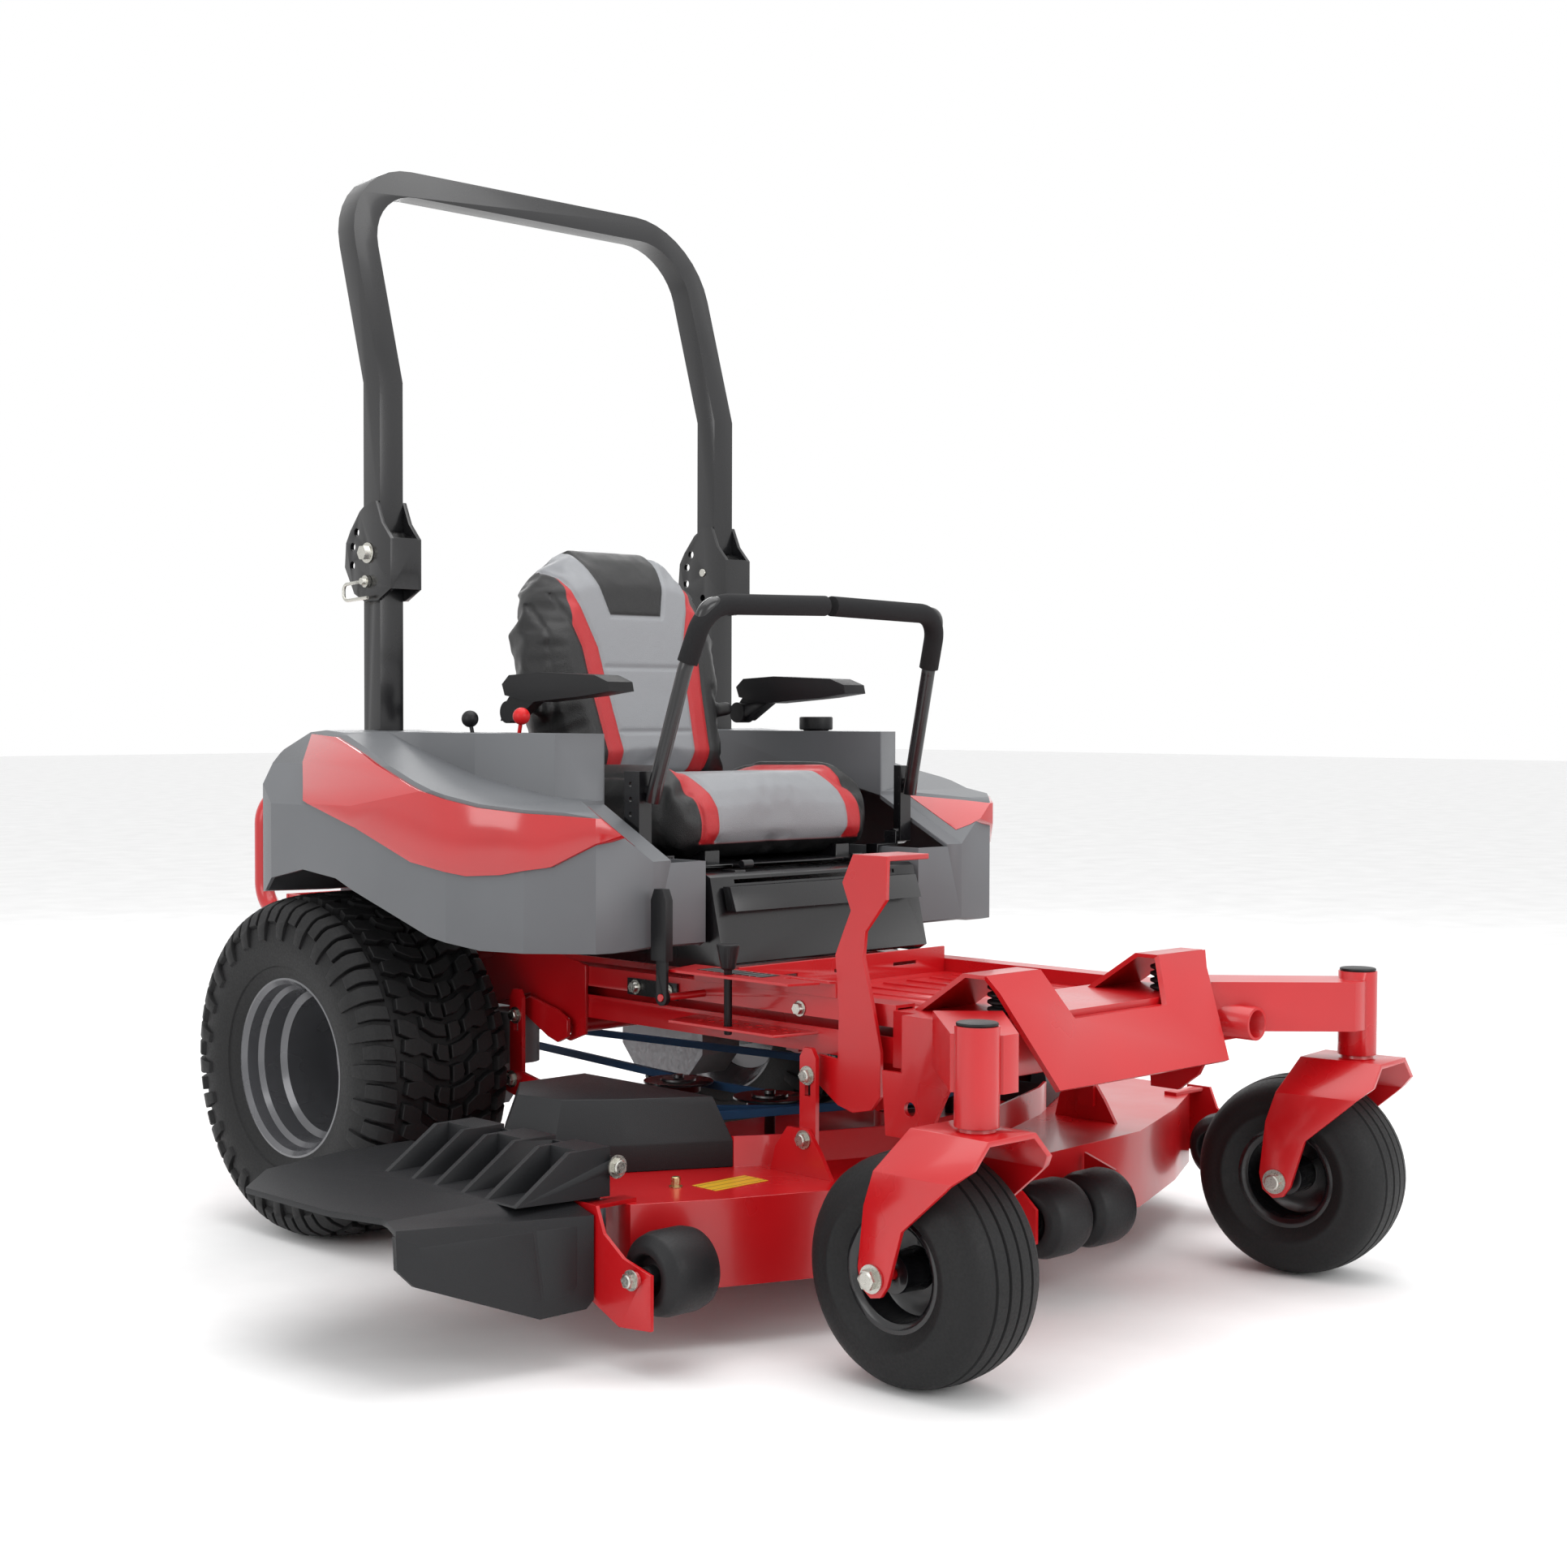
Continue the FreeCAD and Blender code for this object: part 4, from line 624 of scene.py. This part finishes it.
def drive_hub(side_name, outward, axis):
    bm = bmesh.new()
    for radius, depth, along in HUB_DISCS:
        bmesh.ops.create_cone(bm, cap_ends=True, segments=40, radius1=radius, radius2=radius, depth=depth,
                              matrix=outward @ Matrix.Translation((along, 0, 0)) @ CROSSWISE)
    for k in range(STUDS):
        around = Matrix.Rotation(math.tau * (k + 0.5) / STUDS, 4, "X")
        hexagon(bm, outward @ (around @ Vector((NUT_ALONG, 0, NUT_OUT))), 19, 16, axis)
    finished(new_object("drive_hub_" + side_name, bm), black_coat, "drive_wheel_" + side_name)


for side_name, sign in (("r", -1), ("l", 1)):
    centre = middle("drive_rim_" + side_name)
    centre.x = at(sign * WHEEL_X, 0, 0).x
    outward = Matrix.Translation(centre) @ Matrix.Rotation(0 if sign > 0 else math.pi, 4, "Z")
    drive_tyre(side_name, outward)
    drive_rim(side_name, outward)
    drive_hub(side_name, outward, (sign, 0, 0))


# ---- Engine and drive --------------------------------------------------------------------------
# A cast alloy V-twin under its black blower housing, a dark steel muffler, and cast hydrostatic
# drives bolted to the rails.
cast = metal("cast_alloy", (0.30, 0.30, 0.31), 0.5, 150.0)
for node in ("engine_block", "transaxles"):
    eased(node, cast, 1.5)
eased("engine_blower", black_plastic, 3, 2)
eased("muffler", dark_steel, 1.5, 2)


# ---- Seat box and pods -------------------------------------------------------------------------
# The folded black seat box, and on each side a moulded grey pod with its console and cup holder.
# A glossy red panel is let into the outer wall of each pod, and ends where the pod's nose slopes.
eased("seat_box", black_coat, 1, 2)
grey_plastic = moulded("grey_moulded_plastic", (0.120, 0.125, 0.133), 0.4)
gloss_red = powder_coat("red_gloss_panel", (0.43, 0.0035, 0.006), 0.14, 0.8)
# A place on the nose's slope, and how far its normal leans inward and forward for each unit up.
NOSE_OUT, NOSE_Y, NOSE_Z = 385, -700, 665
NOSE_LEAN_IN, NOSE_LEAN_FORWARD = 0.652, 0.519
for side_name, side in (("r", -1), ("l", 1)):
    upright = Vector((-side * NOSE_LEAN_IN, -NOSE_LEAN_FORWARD, 1))
    nose_slope = at(side * NOSE_OUT, NOSE_Y, NOSE_Z), upright
    eased("fender_" + side_name, grey_plastic, 7, 3, smooth=44, over=9, long=26)
    eased("side_panel_" + side_name, gloss_red, 1.5, 2, trim=nose_slope)
eased("fuel_cap", black_plastic, 3, 3)


# ---- Seat --------------------------------------------------------------------------------------
# Foam cushion and backrest in sewn vinyl: a grey centre between red bands, black bolsters and
# back, and a black patch at head height. Both covers are puffed by their foam and seamed after.
def settled(made, modifier):
    """Make the object's one modifier permanent in its mesh."""
    graph = bpy.context.evaluated_depsgraph_get()
    mesh = bpy.data.meshes.new_from_object(made.evaluated_get(graph))
    made.modifiers.remove(modifier)
    made.data = mesh


COVER_VOXEL = 0.0062
FOAM_PRESSURE = 4
COVER_BENDING = 10
SWELLING_FRAMES = 20
SWELLING_CAP = 22


def padded_piece(node, shrink, cap):
    """The node's solid, drawn in a little, remeshed, and swollen by pressure inside its cover.

    No point of the cover moves more than cap millimetres. The cover is then pulled tight.
    """
    bm = copied(node)
    mid = middle(node)
    for v in bm.verts:
        v.co = mid + Vector([(v.co[k] - mid[k]) * shrink[k] for k in range(3)])
    made = new_object(node + "_padded", bm)
    remesh = made.modifiers.new("skin", "REMESH")
    remesh.mode, remesh.voxel_size = "VOXEL", COVER_VOXEL
    settled(made, remesh)
    before = [v.co.copy() for v in made.data.vertices]
    cloth = made.modifiers.new("cover", "CLOTH")
    cloth.settings.use_pressure = True
    cloth.settings.uniform_pressure_force = FOAM_PRESSURE
    cloth.settings.effector_weights.gravity = 0
    cloth.settings.bending_stiffness = COVER_BENDING
    for step in range(SWELLING_FRAMES):
        bpy.context.scene.frame_set(step + 1)
    settled(made, cloth)
    bpy.context.scene.frame_set(1)
    for v, old in zip(made.data.vertices, before):
        move = v.co - old
        v.co = old + move * min(1, cap / 1000 / max(move.length, 1e-9))
    tight = made.modifiers.new("tight", "SMOOTH")
    tight.factor, tight.iterations = 0.5, 8
    settled(made, tight)
    finer = made.modifiers.new("finer", "SUBSURF")
    finer.levels = finer.render_levels = 1
    settled(made, finer)
    return made


def sewn(made, distance_to_seams, depth=3.4, width=4.2):
    """Press narrow channels into the cover along its seams; distances are in millimetres."""
    bm = bmesh.new()
    bm.from_mesh(made.data)
    bmesh.ops.smooth_vert(bm, verts=bm.verts, factor=0.5, use_axis_x=True, use_axis_y=True, use_axis_z=True)
    bm.normal_update()
    origin = at(0, 0, 0)
    moves = []
    for v in bm.verts:
        gap = distance_to_seams((v.co - origin) * 1000, v.normal)
        moves.append(v.normal * -depth / 1000 * math.exp(-(gap / width) ** 2))
    for v, move in zip(bm.verts, moves):
        v.co += move
    bm.to_mesh(made.data)
    bm.free()


def vinyl(name, grey_share, red_share):
    """Grained vinyl, black with red and grey panels; each share is 1 inside its panel."""
    coat = Coat(name, (0.012, 0.012, 0.013), 0.4, Specular_IOR_Level=0.5)
    grey, red = grey_share(coat), red_share(coat)
    base = coat.mixed(coat.noise(9, 3), (0.003, 0.003, 0.0035), (0.005, 0.005, 0.0055))
    tone = coat.mixed(grey, coat.mixed(red, base, (0.40, 0.010, 0.014)), (0.235, 0.242, 0.255))
    cells = {"Vector": coat.place, "Scale": 420.0}
    creases = coat.node("ShaderNodeTexVoronoi", {"feature": "DISTANCE_TO_EDGE"}, cells)
    grain = coat.ramp(creases, 0.0, 0.25) + coat.noise(26, 3) * 2.5
    return coat.feed(tone, coat.ramp(coat.noise(30, 3), 0.3, 0.7, 0.34, 0.48), grain, 0.0006, 0.45)


def measured(coat):
    """Machine x, y and z in millimetres as shader values."""
    origin = at(0, 0, 0)
    return [(value - origin[k]) * 1000 for k, value in enumerate(coat.axes())]


NO_SEAM = 99
# How far from the middle the cushion's grey panel, red bands and bolsters end. Under the side height
# its cover is plain black.
CUSHION_GREY, CUSHION_RED, CUSHION_BOLSTER, CUSHION_SIDE_Z = 160, 198, 242, 705


def cushion_band(coat, half):
    x, _, z = measured(coat)
    return coat.below(abs(x), half, 0.5) * coat.below(CUSHION_SIDE_Z - z, 0, 2)


def cushion_grey(coat):
    return cushion_band(coat, CUSHION_GREY)


def cushion_red(coat):
    return cushion_band(coat, CUSHION_RED)


# The backrest leans back, its grey panel widens upwards, and the black patch starts near its top.
BACK_FOOT_Z, BACK_RECLINE, BACK_MIDDLE_Y = 800, 0.25, -165
PANEL_HALF, PANEL_FLARE, SHOULDER_Z, SHOULDER_FLARE = 84, 0.09, 1050, 0.26
BAND_WIDE, BAND_TOP_Z = 38, 1150
PATCH_HALF, PATCH_FOOT_Z, PATCH_FLARE = 62, 1110, 0.3
QUILT_LINES = (895, 1014)
BOLSTER_HALF, BOLSTER_TOP_Z = 205, 1130


def past(value, edge):
    """How far a number or a wire is past an edge, and nought before it."""
    over = value - edge
    return over.above(0) if isinstance(over, Wire) else max(0, over)


def panel_half(z):
    """Half the width of the backrest's grey panel at a height."""
    return (z - BACK_FOOT_Z) * PANEL_FLARE + past(z, SHOULDER_Z) * SHOULDER_FLARE + PANEL_HALF


def patch_half(z):
    """Half the width of the backrest's black patch at a height."""
    return (z - PATCH_FOOT_Z) * PATCH_FLARE + PATCH_HALF


def backrest_ahead(coat, y, z):
    """1 on the front of the backrest."""
    return coat.below(y - (z - BACK_FOOT_Z) * BACK_RECLINE, BACK_MIDDLE_Y, 6)


def backrest_grey(coat):
    x, y, z = measured(coat)
    patch = coat.below(abs(x) - patch_half(z), 0, 0.8) * coat.below(PATCH_FOOT_Z + 2 - z, 0, 1.5)
    return coat.below(abs(x) - panel_half(z), 0, 0.6) * (1 - patch) * backrest_ahead(coat, y, z)


def backrest_red(coat):
    x, y, z = measured(coat)
    half = panel_half(z)
    band = coat.ramp(z, 1090, 1180, BAND_WIDE, 0)
    inside, outside = coat.below(abs(x) - half - band, 0, 0.6), coat.below(half - abs(x), 0, 0.6)
    return inside * outside * backrest_ahead(coat, y, z)


def cushion_seams(p, normal):
    """How far a point is from the nearest seam of the cushion (mm)."""
    gaps = [abs(abs(p.x) - CUSHION_GREY), abs(abs(p.x) - CUSHION_RED)]
    if normal.z > 0.5:
        gaps.append(abs(abs(p.x) - CUSHION_BOLSTER))
    return min(gaps) if p.z > CUSHION_SIDE_Z else NO_SEAM


def backrest_seams(p, normal):
    """How far a point is from the nearest seam on the front of the backrest (mm)."""
    if normal.y > 0.1:
        return NO_SEAM
    half, x = panel_half(p.z), abs(p.x)
    gaps = [abs(x - half)]
    if p.z < BAND_TOP_Z:
        gaps.append(abs(x - half - BAND_WIDE))
    if p.z > PATCH_FOOT_Z - 4:
        gaps.append(abs(x - patch_half(p.z)))
    if x < half:
        gaps += [abs(p.z - line) for line in QUILT_LINES]
    if x < min(half, PATCH_HALF):
        gaps.append(abs(p.z - PATCH_FOOT_Z - 1))
    if p.z < BOLSTER_TOP_Z:
        gaps.append(abs(x - BOLSTER_HALF))
    return min(gaps)


covers = (("seat_cushion", (0.955, 0.955, 0.90), cushion_seams, cushion_grey, cushion_red),
          ("seat_back", (0.95, 0.90, 0.965), backrest_seams, backrest_grey, backrest_red))
for node, shrink, seams, grey_share, red_share in covers:
    pad = padded_piece(node, shrink, SWELLING_CAP)
    sewn(pad, seams)
    finished(pad, vinyl(node + "_vinyl", grey_share, red_share), "seat", 60)
    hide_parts(node)
eased("seat_base", black_coat)
for side_name in "rl":
    eased("armrest_" + side_name, black_plastic, 9, 4, over=16, long=8)


# ---- Controls ----------------------------------------------------------------------------------
# Steel drive levers with thick foam grips on slotted brackets, the parking brake, the throttle
# and choke knobs, the deck lift pedal and the height pin.
foam_rubber = moulded("foam_rubber", (0.010, 0.010, 0.011), 0.85, 600.0, 0.0006)
GRIP_LEAST_WIDTH = 200
for side_name in "rl":
    eased("lever_hub_" + side_name, black_coat)
    lever = eased("lever_" + side_name, black_coat, 2.5, 2)
    recoat(lever, foam_rubber, lambda size: size.x > GRIP_LEAST_WIDTH)
for node in ("parking_brake", "height_pin"):
    eased(node, black_plastic, 2.5, 2)
eased("throttle_lever", black_plastic)
eased("choke_lever", moulded("red_moulded_plastic", (0.56, 0.008, 0.010), 0.35))
for node in ("lift_pedal", "rear_lift"):
    eased(node, red_coat)


# ---- Roll bar ----------------------------------------------------------------------------------
# Square steel tube in satin black, hinged between plates, with zinc pivot bolts and wire pins.
eased("rops_hoop", black_coat, 4, 3)
eased("rops_lower", black_coat, 4, 3)
# Any piece this long among the frame's fixings is a plate, not a bolt, and is black.
PLATE_LEAST_LENGTH = 100
fixings = eased("frame_bolts", zinc, 0.6)
recoat(fixings, black_coat, lambda size: size.y > PLATE_LEAST_LENGTH)
for side_name in "rl":
    eased("lock_pin_" + side_name, zinc, 0.6)
